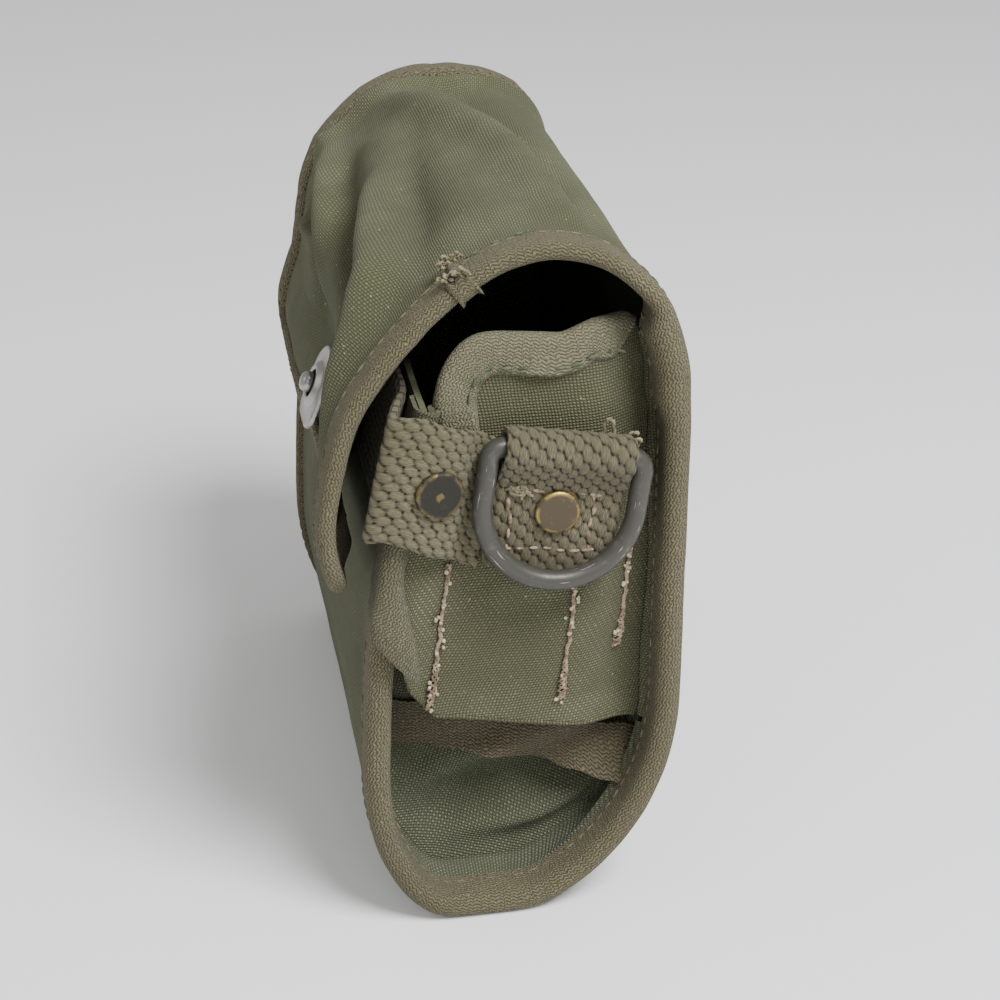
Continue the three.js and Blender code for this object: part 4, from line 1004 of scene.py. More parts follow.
def ribbed_tape_group():
    """Narrow tape woven in chevrons: wavy ribs along it, of short yarns that slant to and fro."""
    group, source, sink = node_group(
        "ribbed_tape", [("Cloth", "Vector", None), ("Rib Pitch", "Float", 1.0), ("Pick Pitch", "Float", 0.8)],
        [("Height", "Float"), ("Tone", "Float")],
    )
    cloth = source["Cloth"]
    x, y, _ = separated(cloth)
    wander = minus(noise_node(cloth, 0.5, 3.0, 0.65), 0.5)
    pick = plus(divided(x, source["Pick Pitch"]), times(wander, 2.6))
    rib = plus(divided(y, source["Rib Pitch"]), times(wander, 1.7))
    yarn = absolute(half_waves(plus(rib, times(math_node("PINGPONG", pick, 1.0), 0.62))))
    across = times_plus(absolute(half_waves(pick)), 0.45, 0.55)
    uneven = times_plus(noise_node(cloth, 1.1, 3.0, 0.7), 1.3, 0.3)
    connect(sink["Height"], times(times(yarn, uneven, clamp=True), across))
    connect(sink["Tone"], noise_node(cloth, 1.5, 3.0, 0.65, (1, 2.0, 1)))
    return group


def soiling_group():
    """Use marks in object space: broad fading, small pale lint, and darker soiled patches."""
    group, source, sink = node_group(
        "soiling", [("Place", "Vector", None)], [("Fade", "Float"), ("Soil", "Float"), ("Lint", "Float")],
    )
    place = source["Place"]
    fade = plus(span(noise_node(place, 26.0, 4.0, 0.6), 0.38, 0.68), times(noise_node(place, 160.0, 3.0, 0.6), 0.3))
    connect(sink["Fade"], minus(fade, 0.15, clamp=True))
    connect(sink["Soil"], span(noise_node(place, 17.0, 5.0, 0.62), 0.5, 0.72))
    connect(sink["Lint"], span(noise_node(place, 900.0, 1.0), 0.74, 0.8))
    return group


def worn_metal_group():
    """Patches worn through a coating, and fine scratches that run along the streaks' first axis."""
    group, source, sink = node_group(
        "worn_metal", [("Place", "Vector", None), ("Streaks", "Vector", None)],
        [("Worn", "Float"), ("Scratch", "Float")],
    )
    connect(sink["Worn"], span(noise_node(source["Place"], 420.0, 5.0, 0.7), 0.56, 0.66))
    connect(sink["Scratch"], span(noise_node(source["Streaks"], 1.0, 3.0, 0.55, (0.16, 2.4, 1)), 0.66, 0.71))
    return group


PLAIN_WEAVE, RIBBED_TAPE = plain_weave_group(), ribbed_tape_group()
SOILING, WORN_METAL = soiling_group(), worn_metal_group()


# Materials. Each maker sets uniform values on the shader and wires what varies
def material_tree(name, roughness, **inputs):
    """A new material, its tree, and the inputs of its shader."""
    material = bpy.data.materials.new(name)
    material.use_nodes = True
    shader = material.node_tree.nodes["Principled BSDF"].inputs
    for label, value in {"Roughness": roughness, **inputs}.items():
        shader[label.replace("_", " ")].default_value = value
    return material, material.node_tree, shader


def placed_group(tree, group, **values):
    inputs = {label.replace("_", " "): value for label, value in values.items()}
    return add_node(tree, "ShaderNodeGroup", inputs, node_tree=group)


def bumped(shader, height, distance):
    inputs = {"Distance": distance, "Strength": 1.0, "Height": height}
    connect(shader["Normal"], add_node(height.id_data, "ShaderNodeBump", inputs)[0])


def object_place(tree):
    return add_node(tree, "ShaderNodeTexCoord")["Object"]


def cloth_coordinates(tree):
    return add_node(tree, "ShaderNodeUVMap", uv_map="cloth_mm")[0], object_place(tree)


def shade_of(colour, share):
    return tuple(share * value for value in colour)


LINT_COLOUR = (0.36, 0.34, 0.25)


def canvas_material(name, pitch, ground, pale, relief=0.0002, lint=0.5, contrast=1.0, slub=1.08):
    """Canvas of a ground colour with painted shade between its threads, and thread crowns paled by wear where faded
    and by a painted highlight. pitch is from thread to thread in mm.
    """
    material, tree, shader = material_tree(
        name, 0.94, Sheen_Weight=0.04, Sheen_Roughness=0.6, Specular_IOR_Level=0.15)
    cloth, place = cloth_coordinates(tree)
    weave = placed_group(tree, PLAIN_WEAVE, Cloth=cloth, Warp_Pitch=pitch * slub, Weft_Pitch=pitch)
    marks = placed_group(tree, SOILING, Place=place)
    dark = shade_of(ground, 0.45)
    # Painted shade: the weave's low places between the threads are darkened towards dark.
    colour = mix_colour(span(weave["Height"], 0.0, 0.5), dark, ground)
    fade = times_plus(marks["Fade"], 0.9, 0.22, clamp=True)
    # Pale thread crowns: wear where the cloth is faded, together with a painted highlight.
    lit = times(times(span(weave["Crown"], 0.3, 0.95), weave["Tone"]), fade)
    colour = mix_colour(times(lit, 1.5 * contrast, clamp=True), colour, pale)
    colour = mix_colour(times(marks["Fade"], 0.12), colour, pale)
    colour = mix_colour(times(marks["Soil"], 0.3), colour, dark)
    connect(shader["Base Color"], mix_colour(times(marks["Lint"], lint), colour, LINT_COLOUR))
    bumped(shader, weave["Height"], relief)
    return material


def tape_material(name, ground, pale, soiled=0.3):
    material, tree, shader = material_tree(name, 0.95, Sheen_Weight=0.05, Specular_IOR_Level=0.15)
    cloth, place = cloth_coordinates(tree)
    ribs = placed_group(tree, RIBBED_TAPE, Cloth=cloth, Rib_Pitch=0.72, Pick_Pitch=0.78)
    marks = placed_group(tree, SOILING, Place=place)
    dark = shade_of(ground, 0.5)
    # Painted shade: the low places between the ribs are darkened towards dark.
    colour = mix_colour(span(ribs["Height"], 0.05, 0.55), dark, ground)
    # Pale rib crests: a painted highlight, varied by the yarns' tone and by fading.
    lit = times(span(ribs["Height"], 0.45, 0.95), span(ribs["Tone"], 0.35, 0.7))
    lit = times(lit, times_plus(marks["Fade"], 0.7, 0.35, clamp=True))
    colour = mix_colour(lit, colour, pale)
    connect(shader["Base Color"], mix_colour(times(marks["Soil"], soiled), colour, dark))
    bumped(shader, ribs["Height"], 0.0003)
    return material


def webbing_material(name, dark, middle, pale):
    """The knots are in the mesh; this adds their fibres, painted shade between the knots, a painted highlight on
    their crowns, and patches of dirt.
    """
    material, tree, shader = material_tree(name, 0.92, Sheen_Weight=0.1, Specular_IOR_Level=0.2)
    cloth, place = cloth_coordinates(tree)
    fibre = noise_node(cloth, 2.4, 4.0, 0.65, (0.35, 2.2, 1))
    marks = placed_group(tree, SOILING, Place=place)
    crown = span(add_node(tree, "ShaderNodeAttribute", attribute_name="relief")["Fac"], 0.25, 0.85)
    # Painted shade: the low places between the knots are darkened nearly to black.
    colour = mix_colour(crown, dark, middle)
    # Painted highlight on the knot crowns, varied by the fibres and by fading.
    lit = times(times(crown, span(fibre, 0.38, 0.7)), times_plus(marks["Fade"], 0.6, 0.45, clamp=True))
    colour = mix_colour(lit, colour, pale)
    connect(shader["Base Color"], mix_colour(times(marks["Soil"], 0.25), colour, dark))
    bumped(shader, fibre, 0.00022)
    return material


def thread_material(name, middle, pale):
    material, tree, shader = material_tree(name, 0.9, Specular_IOR_Level=0.2)
    tone = noise_node(object_place(tree), 700.0)
    connect(shader["Base Color"], mix_colour(span(tone, 0.35, 0.65), middle, pale))
    return material


def metal_material(name, coat, bare, coat_rough, bare_rough, coat_metal, wear=1.0, scratch=0.6, head=None, patch=0.0):
    """Coated metal worn bare in places. A head's radius wears its rim, and patch wears a diamond at its middle."""
    material, tree, shader = material_tree(name, coat_rough, Specular_IOR_Level=0.3)
    flat, place = cloth_coordinates(tree)
    marks = placed_group(tree, WORN_METAL, Place=place, Streaks=flat)
    worn = larger(times(marks["Worn"], wear), times(marks["Scratch"], scratch), clamp=True)
    if head:
        radius = add_node(tree, "ShaderNodeVectorMath", {0: flat}, operation="LENGTH")["Value"]
        ragged = span(noise_node(place, 300.0, 3.0, 0.6), 0.42, 0.56)
        worn = larger(worn, times(span(radius, head * 0.78, head * 0.95), ragged))
        wide, tall = (times(absolute(socket), 0.9) for socket in separated(flat)[:2])
        diamond = plus(plus(wide, tall), times(ragged, 0.5))
        worn = larger(worn, times(span(diamond, 1.5, 1.0), patch))
    connect(shader["Base Color"], mix_colour(worn, coat, bare))
    rough = times_plus(worn, bare_rough - coat_rough, coat_rough)
    connect(shader["Roughness"], plus(rough, times(noise_node(place, 1500.0), 0.12)))
    connect(shader["Metallic"], times_plus(worn, 1 - coat_metal, coat_metal))
    bumped(shader, noise_node(place, 1100.0, 3.0), 0.00004)
    return material


# Geometry Nodes: stitches along a path, and threads that follow one
def geometry_group(name, inputs):
    inputs = [("Path", "Geometry", None), *inputs, ("Material", "Material", None)]
    return node_group(name, inputs, [("Geometry", "Geometry")], "GeometryNodeTree")


def geometry_ending(source, sink, geometry):
    """Realize Instances and Set Material end every tree, because the export drops instances."""
    group = geometry.id_data
    real = add_node(group, "GeometryNodeRealizeInstances", {"Geometry": geometry})[0]
    smooth = add_node(group, "GeometryNodeSetShadeSmooth", {"Geometry": real})[0]
    paint = add_node(group, "GeometryNodeSetMaterial", {"Geometry": smooth, "Material": source["Material"]})[0]
    connect(sink["Geometry"], paint)
    return group


def stitch_group():
    group, source, sink = geometry_group("stitches", [
        ("Pitch", "Float", 0.003), ("Length", "Float", 0.0024), ("Thickness", "Float", 0.0007),
        ("Unevenness", "Float", 0.15), ("Seed", "Int", 4),
    ])
    curve = add_node(group, "GeometryNodeMeshToCurve", {0: source["Path"]})[0]
    inputs = {"Curve": curve, "Length": source["Pitch"]}
    steps = add_node(group, "GeometryNodeResampleCurve", inputs, mode="LENGTH")[0]
    out = add_node(group, "GeometryNodeInputNamedAttribute", {"Name": "out"}, data_type="FLOAT_VECTOR")["Attribute"]
    tangent = add_node(group, "GeometryNodeInputTangent")[0]
    face = add_node(group, "FunctionNodeAlignRotationToVector", {"Vector": out}, axis="Z")[0]
    inputs = {"Rotation": face, "Vector": tangent}
    along = add_node(group, "FunctionNodeAlignRotationToVector", inputs, axis="X", pivot_axis="Z")[0]
    sphere = add_node(group, "GeometryNodeMeshUVSphere", {"Segments": 8, "Rings": 6, "Radius": 0.5})[0]
    inputs = {0: source["Length"], 1: source["Thickness"], 2: times(source["Thickness"], 0.8)}
    size = add_node(group, "ShaderNodeCombineXYZ", inputs)[0]
    unevenness = source["Unevenness"]
    inputs = {2: minus(1.0, unevenness), 3: plus(1.0, unevenness), "Seed": source["Seed"]}
    uneven = add_node(group, "FunctionNodeRandomValue", inputs, data_type="FLOAT")[1]
    scale = add_node(group, "ShaderNodeVectorMath", {0: size, "Scale": uneven}, operation="SCALE")[0]
    inputs = {"Points": steps, "Instance": sphere, "Rotation": along, "Scale": scale}
    return geometry_ending(source, sink, add_node(group, "GeometryNodeInstanceOnPoints", inputs)[0])


def thread_group():
    group, source, sink = geometry_group("threads", [("Thickness", "Float", 0.0005), ("Sides", "Int", 6)])
    curve = add_node(group, "GeometryNodeMeshToCurve", {0: source["Path"]})[0]
    inputs = {"Resolution": source["Sides"], "Radius": times(source["Thickness"], 0.5)}
    ring = add_node(group, "GeometryNodeCurvePrimitiveCircle", inputs)[0]
    inputs = {"Curve": curve, "Profile Curve": ring, "Fill Caps": True}
    return geometry_ending(source, sink, add_node(group, "GeometryNodeCurveToMesh", inputs)[0])


STITCHES, THREADS = stitch_group(), thread_group()
STITCH_REACH = BINDING - 1.9


def stitches(pitch, length, thickness, **others):
    return {"Pitch": pitch, "Length": length, "Thickness": thickness, **others}


def threads(thickness, sides):
    return {"Thickness": thickness, "Sides": sides}


TAPE_STITCHES = stitches(0.0031, 0.0024, 0.0005)
MOUTH_STITCHES = stitches(0.0034, 0.0027, 0.0006)
LAP_STITCHES = stitches(0.0033, 0.0026, 0.00065)
JOIN_STITCHES = stitches(0.0036, 0.0031, 0.00062)
TAB_STITCHES = stitches(0.0026, 0.0024, 0.0008, Unevenness=0.3)


THREAD_LIFT = 0.0004


def along_paths(name, group, paths, material, values):
    """A plain mesh from a Geometry Nodes tree run along paths, each a pair of points and outward directions."""
    points, edges, outs = [], [], []
    for path, out in paths:
        start = len(points)
        placed = (np.asarray(path) + (0, Y_SHIFT, 0)) / 1000
        placed[:, 2] = np.maximum(placed[:, 2], THREAD_LIFT)
        points.extend(placed.tolist())
        outs.extend(np.broadcast_to(out, placed.shape).tolist())
        edges.extend((start + k, start + k + 1) for k in range(len(placed) - 1))
    carrier_mesh = bpy.data.meshes.new(name + "_path")
    carrier_mesh.from_pydata(points, edges, [])
    layer = carrier_mesh.attributes.new("out", "FLOAT_VECTOR", "POINT")
    layer.data.foreach_set("vector", np.asarray(outs, np.float32).ravel())
    carrier = bpy.data.objects.new(name + "_path", carrier_mesh)
    bpy.context.scene.collection.objects.link(carrier)
    modifier = carrier.modifiers.new(group.name, "NODES")
    modifier.node_group = group
    inputs = {s.name: s.identifier for s in group.interface.items_tree if getattr(s, "in_out", "") == "INPUT"}
    for label, value in {**values, "Material": material}.items():
        modifier[inputs[label]] = value
    bpy.context.view_layer.update()
    evaluated = carrier.evaluated_get(bpy.context.evaluated_depsgraph_get())
    mesh = bpy.data.meshes.new_from_object(evaluated)
    mesh.name = name
    carrier.modifiers.clear()
    bpy.data.objects.remove(carrier)
    if not mesh.materials:
        mesh.materials.append(material)
    return placed_piece(name, mesh)


def rim_stitch_paths(side):
    """The stitch line near the free edge of each leaf of the rim tape."""
    c = np.linspace(JOIN + 3, FOLD_FRONT_RUN - 2, 420)
    x, outward = side * (RIM_X - STITCH_REACH), outward_at(c)
    return [(skin(x, c, -0.05), outward), (skin(x, c, rim_thickness(c) + 0.05), -outward)]


def flap_stitch_paths():
    stations = flap_edge_stations()
    x, c = (stations[:, k] + stations[:, k + 2] * STITCH_REACH for k in (0, 1))
    outward = outward_at(c)
    return [(skin(x, c, -0.05), outward), (skin(x, c, TAPE_OVER_CANVAS + 0.05), -outward)]


def lap_stitch_paths():
    x = np.linspace(-LEAF_X + 1, LEAF_X - 1, 200)
    return [(skin(x, c, INSET - 0.05), outward_at(np.array([c]))[0]) for c in (FLAP_END - 2.2, BODY_TOP + 2.2)]


def mouth_stitch_path(side):
    line, inward = mouth_lines()
    reach = np.full((len(line), 1), STITCH_REACH)
    return mirror_to(side, mouth_place(reach, 0 * reach - 0.1, line, inward)[:, 0]), np.array([side, 0.0, 0])


def wandering(start, end, steps, sway, seed, lift):
    """Points from start to end that stray sideways, as a loose thread does."""
    t = np.linspace(0, 1, steps)[:, None]
    line = np.asarray(start) + (np.asarray(end) - np.asarray(start)) * t
    rise = np.abs(noise_line(steps, 0.31, seed, 1.1)) * lift
    return line + columns(rise, noise_line(steps, 0.27, seed, 6.2) * sway, noise_line(steps, 0.33, seed, 9.4) * sway * 0.6)


def curled(centre, size, turns, seed, steps):
    """A small curl of frayed thread that stands off the cloth."""
    t = np.linspace(0, 1, steps)
    angle = turns * 2 * np.pi * t + seed
    reach = size * (0.35 + 0.65 * t)
    x = 0.3 + 0.8 * size * np.abs(np.sin(np.pi * t)) * (0.4 + 0.6 * noise.noise(Vector((seed, 2.2, 3.3))))
    y = reach * np.cos(angle) * 0.7 + noise.noise(Vector((seed, 5.0, 1.0))) * size
    return np.asarray(centre) + np.stack([np.abs(x), y, reach * np.sin(angle)], 1)


# Old seams of the gusset, of which frayed thread is left: their points at the right end (y, z)
OLD_SEAMS = [
    [(-14.4, 82.5), (-15.0, 77.0), (-16.2, 70.5), (-16.9, 63.0), (-18.0, 55.0), (-19.0, 49.5)],
    [(10.9, 76.5), (10.4, 70.0), (9.2, 60.0), (8.3, 49.0)],
    [(23.2, 82.0), (22.4, 73.0), (21.6, 64.0), (20.4, 58.0)],
]


def surface_point(piece_name, start, direction):
    """First point of a piece along a line, in the millimetres used here."""
    start = Vector(start) + Vector((0, Y_SHIFT, 0))
    _, place, _, _ = bpy.data.objects[piece_name].ray_cast(start / 1000, Vector(direction))
    return np.array(place) * 1000 - (0, Y_SHIFT, 0)


def gusset_surface_x(y, z):
    return surface_point("right_end_cloth", (200, y, z), (-1, 0, 0))[0]


def old_seam_threads(side, name, thread, lint):
    """Three strands twisted along each old seam, matted at the lower end, with specks of lint caught in them."""
    strands, specks = [], []
    rng = np.random.default_rng(21 + side)
    for number, seam in enumerate(OLD_SEAMS):
        dense = even_steps(softened(even_steps(np.array(seam), 46), 5), 46)
        for strand in range(3):
            points = []
            for k, (y, z) in enumerate(dense):
                matted = 0.3 + 0.75 * float(smoothstep(k, 26, 40)) + 0.35 * float(smoothstep(5 - k, 0, 4))
                matted *= 0.6 + abs(noise.noise(Vector((k * 0.3, number, strand))))
                twist = k * 1.25 + strand * 2.1
                dy = matted * math.cos(twist) + 0.45 * noise.noise(Vector((k * 0.25, number * 3, 1.0)))
                dz = 0.45 * matted * math.sin(twist * 0.8)
                lift = 0.3 + 0.55 * matted * abs(math.sin(twist))
                points.append((gusset_surface_x(y, z) + lift, y + dy, z + dz))
            strands.append((mirror_to(side, np.array(points)), np.array([side, 0.0, 0])))
        for _ in range(17):
            y, z = dense[rng.integers(1, len(dense))]
            y, z = y + rng.normal(0, 0.65), z + rng.normal(0, 0.5)
            at = (gusset_surface_x(y, z) + 0.25, y, z)
            speck = curled(at, rng.uniform(0.2, 0.42), 1.3, rng.uniform(0, 6), 9)
            specks.append((mirror_to(side, speck), np.array([side, 0.0, 0])))
    along_paths(f"{name}_old_seam_thread", THREADS, strands, thread, threads(0.00052, 6))
    along_paths(f"{name}_old_seam_lint", THREADS, specks, lint, threads(0.00046, 5))


def arch(base, width, height, lean, steps=22):
    """A loop of thread that rises from the cloth, bends over and comes back to it."""
    t = np.linspace(0, np.pi, steps)
    y = -0.5 * width * np.cos(t) + lean * np.sin(t)
    x = 0.25 + 0.9 * np.sin(t) ** 2
    return np.asarray(base, float) + np.stack([x, y, height * np.sin(t) ** 0.8], 1)


def tab_stitches(side, name, thread, loose):
    """Box of stitches round the tab's rivet, with frayed ends, and loose thread by the tab's corners."""
    left, right, top, bottom = -10.0, 6.8, -8.6, -21.0
    corners = np.array([(right, top), (left, top), (left + 1.6, bottom), (right + 0.6, bottom + 0.6), (right, top)])
    out = hang(side, np.array([[1.0, 0, 0]])) - hang(side, np.array([[0.0, 0, 0]]))
    paths = []
    for a, b in zip(corners[:-1], corners[1:]):
        t = np.linspace(0, 1, 30)[:, None]
        yz = a + (b - a) * t + 0.25 * np.sin(t * 9 + a[0])
        paths.append((hang(side, np.column_stack([np.full(30, 0.05), yz])), out[0]))
    along_paths(f"{name}_tab_stitches", STITCHES, paths, thread, TAB_STITCHES)
    frays = []
    for seed in range(7):
        start = np.array([0.25, -10.2 + 0.35 * seed, -8.3 - 0.25 * (seed % 3)])
        end = start + (0.3, 2.6 - 1.1 * seed % 3.1, 1.0 - 0.9 * (seed % 4))
        strand = wandering(start, end, 22, 1.5, 3.1 * seed, 0.8)
        frays.append((hang(side, strand), out[0]))
    for base, width, height, lean in (
        ((-3.0, 7.9, 3.2), 1.9, 3.4, -0.6), ((-2.6, 13.0, 1.4), 1.6, 1.7, 0.8), ((-3.4, 12.4, 2.6), 1.3, 1.5, 0.9),
    ):
        loop = arch(base, width, height, lean)
        turn = np.arange(22) * 1.3
        twisted = loop + 0.28 * columns(0 * turn, np.sin(turn), np.cos(turn))
        frays.extend([(hang(side, loop), out[0]), (hang(side, twisted), out[0])])
    along_paths(f"{name}_tab_frayed_thread", THREADS, frays, loose, threads(0.00055, 6))


def tape_join(tape, thread):
    """The flap tape's end folded over the right rim's tape, crumpled and frayed, with green stitches beside it."""
    across = np.linspace(-2.2, 2.2, 26)[:, None]
    thick = float(rim_thickness(JOIN)) + 1.5

    def place(station, reach, depth):
        crumple = 0.45 * np.sin(across * 2.4 + 0.25 * reach) + 0.35 * np.sin(reach * 1.9 + across)
        c = JOIN + 0.4 + across + 0.35 * np.sin(reach * 1.3) * np.sign(across)
        edge = 0.8 * smoothstep(np.abs(across), 1.5, 2.2)
        return skin(RIM_X + 0.75 - reach, c, depth - 0.75 - crumple * (depth < 1.2) + edge)

    folded_tape("right_join_tape", 26, place, [thick], tape, 5.0, seed=7, wave=1.3)
    rng = np.random.default_rng(5)
    strands = []
    for k in range(46):
        at_top = k % 3 > 0
        reach = rng.normal(BINDING, 0.8) if at_top else rng.uniform(-1.2, 3.5)
        c = JOIN + rng.normal(0.6, 1.2)
        start = skin(RIM_X - reach, c, -0.7 if at_top else -0.4)
        lift = outward_at(np.array([c]))[0]
        curl = rng.uniform(0.4, 1.15)
        phase, spin = rng.uniform(0, 2 * np.pi), rng.uniform(2.0, 5.0)
        t = np.linspace(0, 1, 12)[:, None]
        way = phase + spin * t
        sway = np.concatenate([np.cos(way), np.sin(way), 0.6 * np.cos(2 * phase + spin * t)], 1)
        strands.append((start + lift * (0.2 + 0.9 * curl * t) + sway * curl * t, lift))
    along_paths("right_join_fray", THREADS, strands, thread, threads(0.00058, 5))
    c = np.linspace(JOIN + 5, JOIN + 15, 40)
    seam = [(skin(RIM_X - BINDING + 1.1, c, -0.12), outward_at(c))]
    along_paths("right_join_stitches", STITCHES, seam, GREEN_THREAD, JOIN_STITCHES)


def loose_lint(material):
    """Pale specks of fibre on the flap's top."""
    spots = (-15.2, 8.0), (-18.0, 10.2), (-16.2, 9.6)
    places = [surface_point("flap_cloth", (x, y, 200), (0, 0, -1)) for x, y in spots]
    curls = [
        (curled(np.zeros(3), 0.5, 0.7, 2.0 * k, 12)[:, [1, 2, 0]] * (1, 1, 0.4) + place, np.array([0, 0, 1.0]))
        for k, place in enumerate(places)
    ]
    along_paths("flap_lint", THREADS, curls, material, threads(0.0004, 5))


# Snap
def snap_frame():
    flap = skin(0.0, SNAP_RUN, INSET)
    high, low = skin(0.0, SNAP_RUN + 4, INSET), skin(0.0, SNAP_RUN - 4, INSET)
    along = unit(high - low)
    return flap, np.array([0.0, -along[2], along[1]]), along


def snap_plate(material):
    """Plate with a round top and square-cut foot, rolled at its rim, and a raised collar for the stud."""
    flap, normal, up = snap_frame()
    half, tall = 7.5, 9.0
    corner = half * 0.56
    angle = np.linspace(0, np.pi, 40)
    top = np.stack([half * np.cos(angle), tall - half + half * np.sin(angle)], 1)
    quarter = np.linspace(0, np.pi / 2, 14)
    left = np.stack([-half + corner - corner * np.cos(quarter), -tall + corner - corner * np.sin(quarter)], 1)
    right = np.stack([half - corner + corner * np.sin(quarter), -tall + corner - corner * np.cos(quarter)], 1)
    loop = even_steps(np.vstack([top, left, right, top[:1]]), 97)[:-1]
    hole = 3.1
    rows = [
        (1.0, 0.0, 0.0), (1.0, 0.0, 0.45), (1.0, 0.22, 0.85), (1.0, 0.6, 1.05), (1.0, 1.3, 0.95),
        (0.0, 3.1, 1.0), (0.0, 2.2, 1.1), (0.0, 1.7, 1.6), (0.0, 1.0, 2.1), (0.0, 0.35, 2.15), (0.0, 0.0, 1.9),
        (0.0, 0.0, 0.0),
    ]
    polar = np.arctan2(loop[:, 1], loop[:, 0])
    inner = np.stack([np.cos(polar), np.sin(polar)], 1)
    rings = []
    for outer_share, inset, height in rows:
        if outer_share:
            flat = loop - unit(loop) * inset
        else:
            flat = inner * (hole + inset)
        rings.append(np.column_stack([flat, np.full(len(flat), height)]))
    rings = np.array(rings)
    seat = flap + normal * (TAPE + 2 * GAP)
    points = seat + rings[..., [0]] * np.array([1.0, 0, 0]) + rings[..., [1]] * up + rings[..., [2]] * normal
    count, sides = rings.shape[:2]
    index = np.arange(count * sides).reshape(count, sides)
    quads = np.stack([
        index, np.roll(index, -1, 1), np.roll(np.roll(index, -1, 0), -1, 1), np.roll(index, -1, 0),
    ], -1).reshape(-1, 4)
    uv = rings[..., :2].reshape(-1, 2)
    piece = finished("snap_plate", points.reshape(-1, 3), quads, uv, material, sharp=30)
    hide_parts("snap_socket")
    return seat, normal


def snap_button(seat, normal, material):
    tip = 1.0 + 3.4
    profile = [
        (3.6, -9.5), (3.6, -9.1), (1.5, -9.1), (1.5, -7.4), (1.6, 0.0), (1.6, tip - 3.6), (1.75, tip - 3.2),
        (2.2, tip - 2.6), (2.34, tip - 1.9), (2.28, tip - 1.2), (2.0, tip - 0.62), (1.5, tip - 0.24),
        (0.9, tip - 0.06), (0.35, tip),
    ]
    piece = lathe("snap_button", profile, seat, normal, material, 40)
    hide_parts("snap_stud")


# Finishes, from the look of worn cotton, painted steel, aged brass and nickel
OLIVE = canvas_material("olive_canvas", 0.54, (0.090, 0.096, 0.051), (0.228, 0.232, 0.142), contrast=0.85, slub=1.15)
OLIVE_COARSE = canvas_material("olive_canvas_coarse", 0.62, (0.102, 0.103, 0.056), (0.27, 0.265, 0.168), 0.00028)
# A copy of the coarse canvas with a darker ground and less lint, for the recessed lower panels.
OLIVE_DARK = canvas_material("olive_canvas_unfaded", 0.62, (0.080, 0.089, 0.052), (0.25, 0.262, 0.18), 0.00028, 0.2)
TAN_TAPE = tape_material("tan_tape", (0.116, 0.104, 0.061), (0.236, 0.211, 0.137))
FRONT_TAPE = tape_material("front_tape", (0.098, 0.094, 0.057), (0.22, 0.207, 0.138), 0.5)
OLIVE_TAPE = tape_material("olive_tape", (0.150, 0.145, 0.09), (0.31, 0.293, 0.2), 0.15)
BROWN_TAPE = tape_material("soiled_tape", (0.088, 0.077, 0.047), (0.225, 0.198, 0.13), 0.6)
TAN_WEB = webbing_material("tan_webbing", (0.014, 0.013, 0.007), (0.090, 0.081, 0.046), (0.225, 0.202, 0.130))
# A darker copy of the strap's webbing, for the tabs.
TAB_WEB = webbing_material("soiled_webbing", (0.011, 0.010, 0.006), (0.078, 0.069, 0.040), (0.205, 0.181, 0.119))
PINK_THREAD = thread_material("faded_thread", (0.13, 0.092, 0.06), (0.31, 0.24, 0.17))
PALE_LINT = thread_material("pale_lint", (0.36, 0.31, 0.19), (0.55, 0.50, 0.36))
TAN_THREAD = thread_material("tan_thread", (0.14, 0.123, 0.074), (0.26, 0.23, 0.15))
TAPE_THREAD = thread_material("tape_thread", (0.088, 0.079, 0.048), (0.155, 0.139, 0.090))
GREEN_THREAD = thread_material("green_thread", (0.045, 0.062, 0.038), (0.10, 0.125, 0.08))
RING_PAINT = metal_material("ring_paint", (0.057, 0.056, 0.048), (0.42, 0.41, 0.38), 0.34, 0.3, 0.25, 0.06, 1.0)
RIVET_BRASS = metal_material("aged_brass", (0.075, 0.060, 0.038), (0.40, 0.29, 0.10), 0.55, 0.34, 0.4, 0.3, 0.2, 4.5)
RIVET_DARK = metal_material(
    "dark_rivet_paint", (0.013, 0.012, 0.008), (0.18, 0.135, 0.064), 0.55, 0.42, 0.0, 0.08, 0.15, 4.8, 0.8)
NICKEL = metal_material("nickel", (0.33, 0.322, 0.30), (0.17, 0.162, 0.145), 0.3, 0.5, 1.0, 0.35, 0.3)

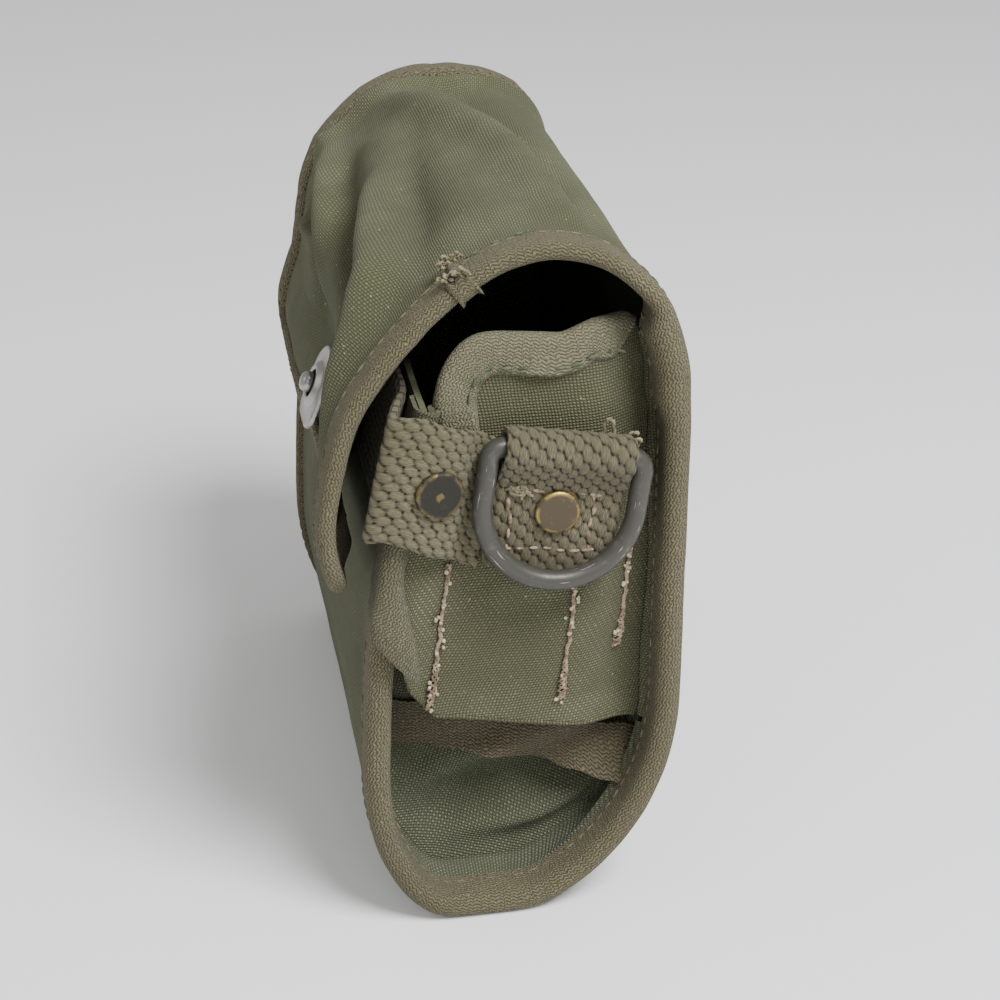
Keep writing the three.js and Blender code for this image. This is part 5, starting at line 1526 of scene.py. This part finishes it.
body_cloth(OLIVE)
flap_cloth(OLIVE)
flap_edge_tape(TAN_TAPE)
plate_seat, plate_normal = snap_plate(NICKEL)
snap_button(plate_seat, plate_normal, NICKEL)
for side, name in ((1, "right"), (-1, "left")):
    rim_tape(side, name, TAN_TAPE)
    front_tape(side, name, FRONT_TAPE)
    end_cloth(side, name, OLIVE_COARSE)
    mouth_tape(side, name, OLIVE_TAPE)
    lower_cloth(side, name, OLIVE_DARK)
    seam_strip(side, name, BROWN_TAPE)
    rivet_at, rivet_axis = ring_strap(side, name, TAN_WEB)
    ring_tab(side, name, TAB_WEB)
    d_ring(side, name, RING_PAINT)
    seat = mirror_to(side, rivet_at + rivet_axis * (WEBBING / 2 + 0.2))
    axis = mirror_to(side, rivet_axis)
    piece = lathe(f"{name}_strap_rivet_head", rivet_profile(9.6, 8.0, 0.12), seat, axis, RIVET_DARK)
    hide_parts(f"{name}_strap_rivet")
    seat = hang(side, np.array([0.3, 0, -TAB_LENGTH * 0.49]))
    axis = np.array([side, 0.0, 0])
    piece = lathe(f"{name}_tab_rivet_head", rivet_profile(9.0, 6.6), seat, axis, RIVET_BRASS)
    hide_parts(f"{name}_tab_rivet")
    rim, mouth = rim_stitch_paths(side), [mouth_stitch_path(side)]
    along_paths(f"{name}_rim_stitches", STITCHES, rim, TAPE_THREAD, TAPE_STITCHES)
    along_paths(f"{name}_mouth_stitches", STITCHES, mouth, GREEN_THREAD, MOUTH_STITCHES)
    old_seam_threads(side, name, PINK_THREAD, PALE_LINT)
    tab_stitches(side, name, PINK_THREAD, TAN_THREAD)
tape_join(TAN_TAPE, TAN_THREAD)
loose_lint(PALE_LINT)
along_paths("flap_edge_stitches", STITCHES, flap_stitch_paths(), TAPE_THREAD, TAPE_STITCHES)
along_paths("lap_stitches", STITCHES, lap_stitch_paths(), GREEN_THREAD, LAP_STITCHES)


# Plain pale floor, soft studio light and the photo's viewing angle, in metres
FLOOR_HALF, FLOOR_COLOUR = 3, (0.89, 0.895, 0.91, 1)
LIGHT_TARGET = (0, 0, 0.07)
WORLD_COLOUR, WORLD_STRENGTH = (1, 0.99, 0.97, 1), 0.56
CAMERA_PLACE, CAMERA_AIM = (0.43753, -0.07393, 0.28470), (-0.8792, 0.1644, -0.4472)
CAMERA_LENS, CAMERA_SENSOR = 79.2, 36.0


def plain_floor():
    mesh = bpy.data.meshes.new("floor")
    far = FLOOR_HALF
    mesh.from_pydata([(-far, -far, 0), (far, -far, 0), (far, far, 0), (-far, far, 0)], [], [(0, 1, 2, 3)])
    floor = bpy.data.objects.new("floor", mesh)
    bpy.context.scene.collection.objects.link(floor)
    mesh.materials.append(material_tree("pale_floor", 0.9, Base_Color=FLOOR_COLOUR)[0])


def soft_light(name, place, size, power):
    data = bpy.data.lights.new(name, "AREA")
    data.shape, data.size, data.energy = "DISK", size, power
    lamp = bpy.data.objects.new(name, data)
    lamp.location = place
    lamp.rotation_euler = (Vector(LIGHT_TARGET) - Vector(place)).to_track_quat("-Z", "Y").to_euler()
    bpy.context.scene.collection.objects.link(lamp)


plain_floor()
soft_light("overhead_softbox", (0.48, 0.3, 0.86), 0.42, 16.5)
soft_light("near_softbox", (0.95, -0.05, 0.5), 0.6, 1.3)
soft_light("front_softbox", (-0.1, -0.9, 0.6), 0.6, 1.3)
world = bpy.data.worlds.new("studio")
world.use_nodes = True
world.node_tree.nodes["Background"].inputs["Color"].default_value = WORLD_COLOUR
world.node_tree.nodes["Background"].inputs["Strength"].default_value = WORLD_STRENGTH
bpy.context.scene.world = world

camera_data = bpy.data.cameras.new("camera")
camera_data.lens, camera_data.sensor_width = CAMERA_LENS, CAMERA_SENSOR
camera = bpy.data.objects.new("camera", camera_data)
camera.location = Vector(CAMERA_PLACE) + Vector((0, Y_SHIFT / 1000, 0))
camera.rotation_euler = Vector(CAMERA_AIM).to_track_quat("-Z", "Y").to_euler()
bpy.context.scene.collection.objects.link(camera)
bpy.context.scene.camera = camera
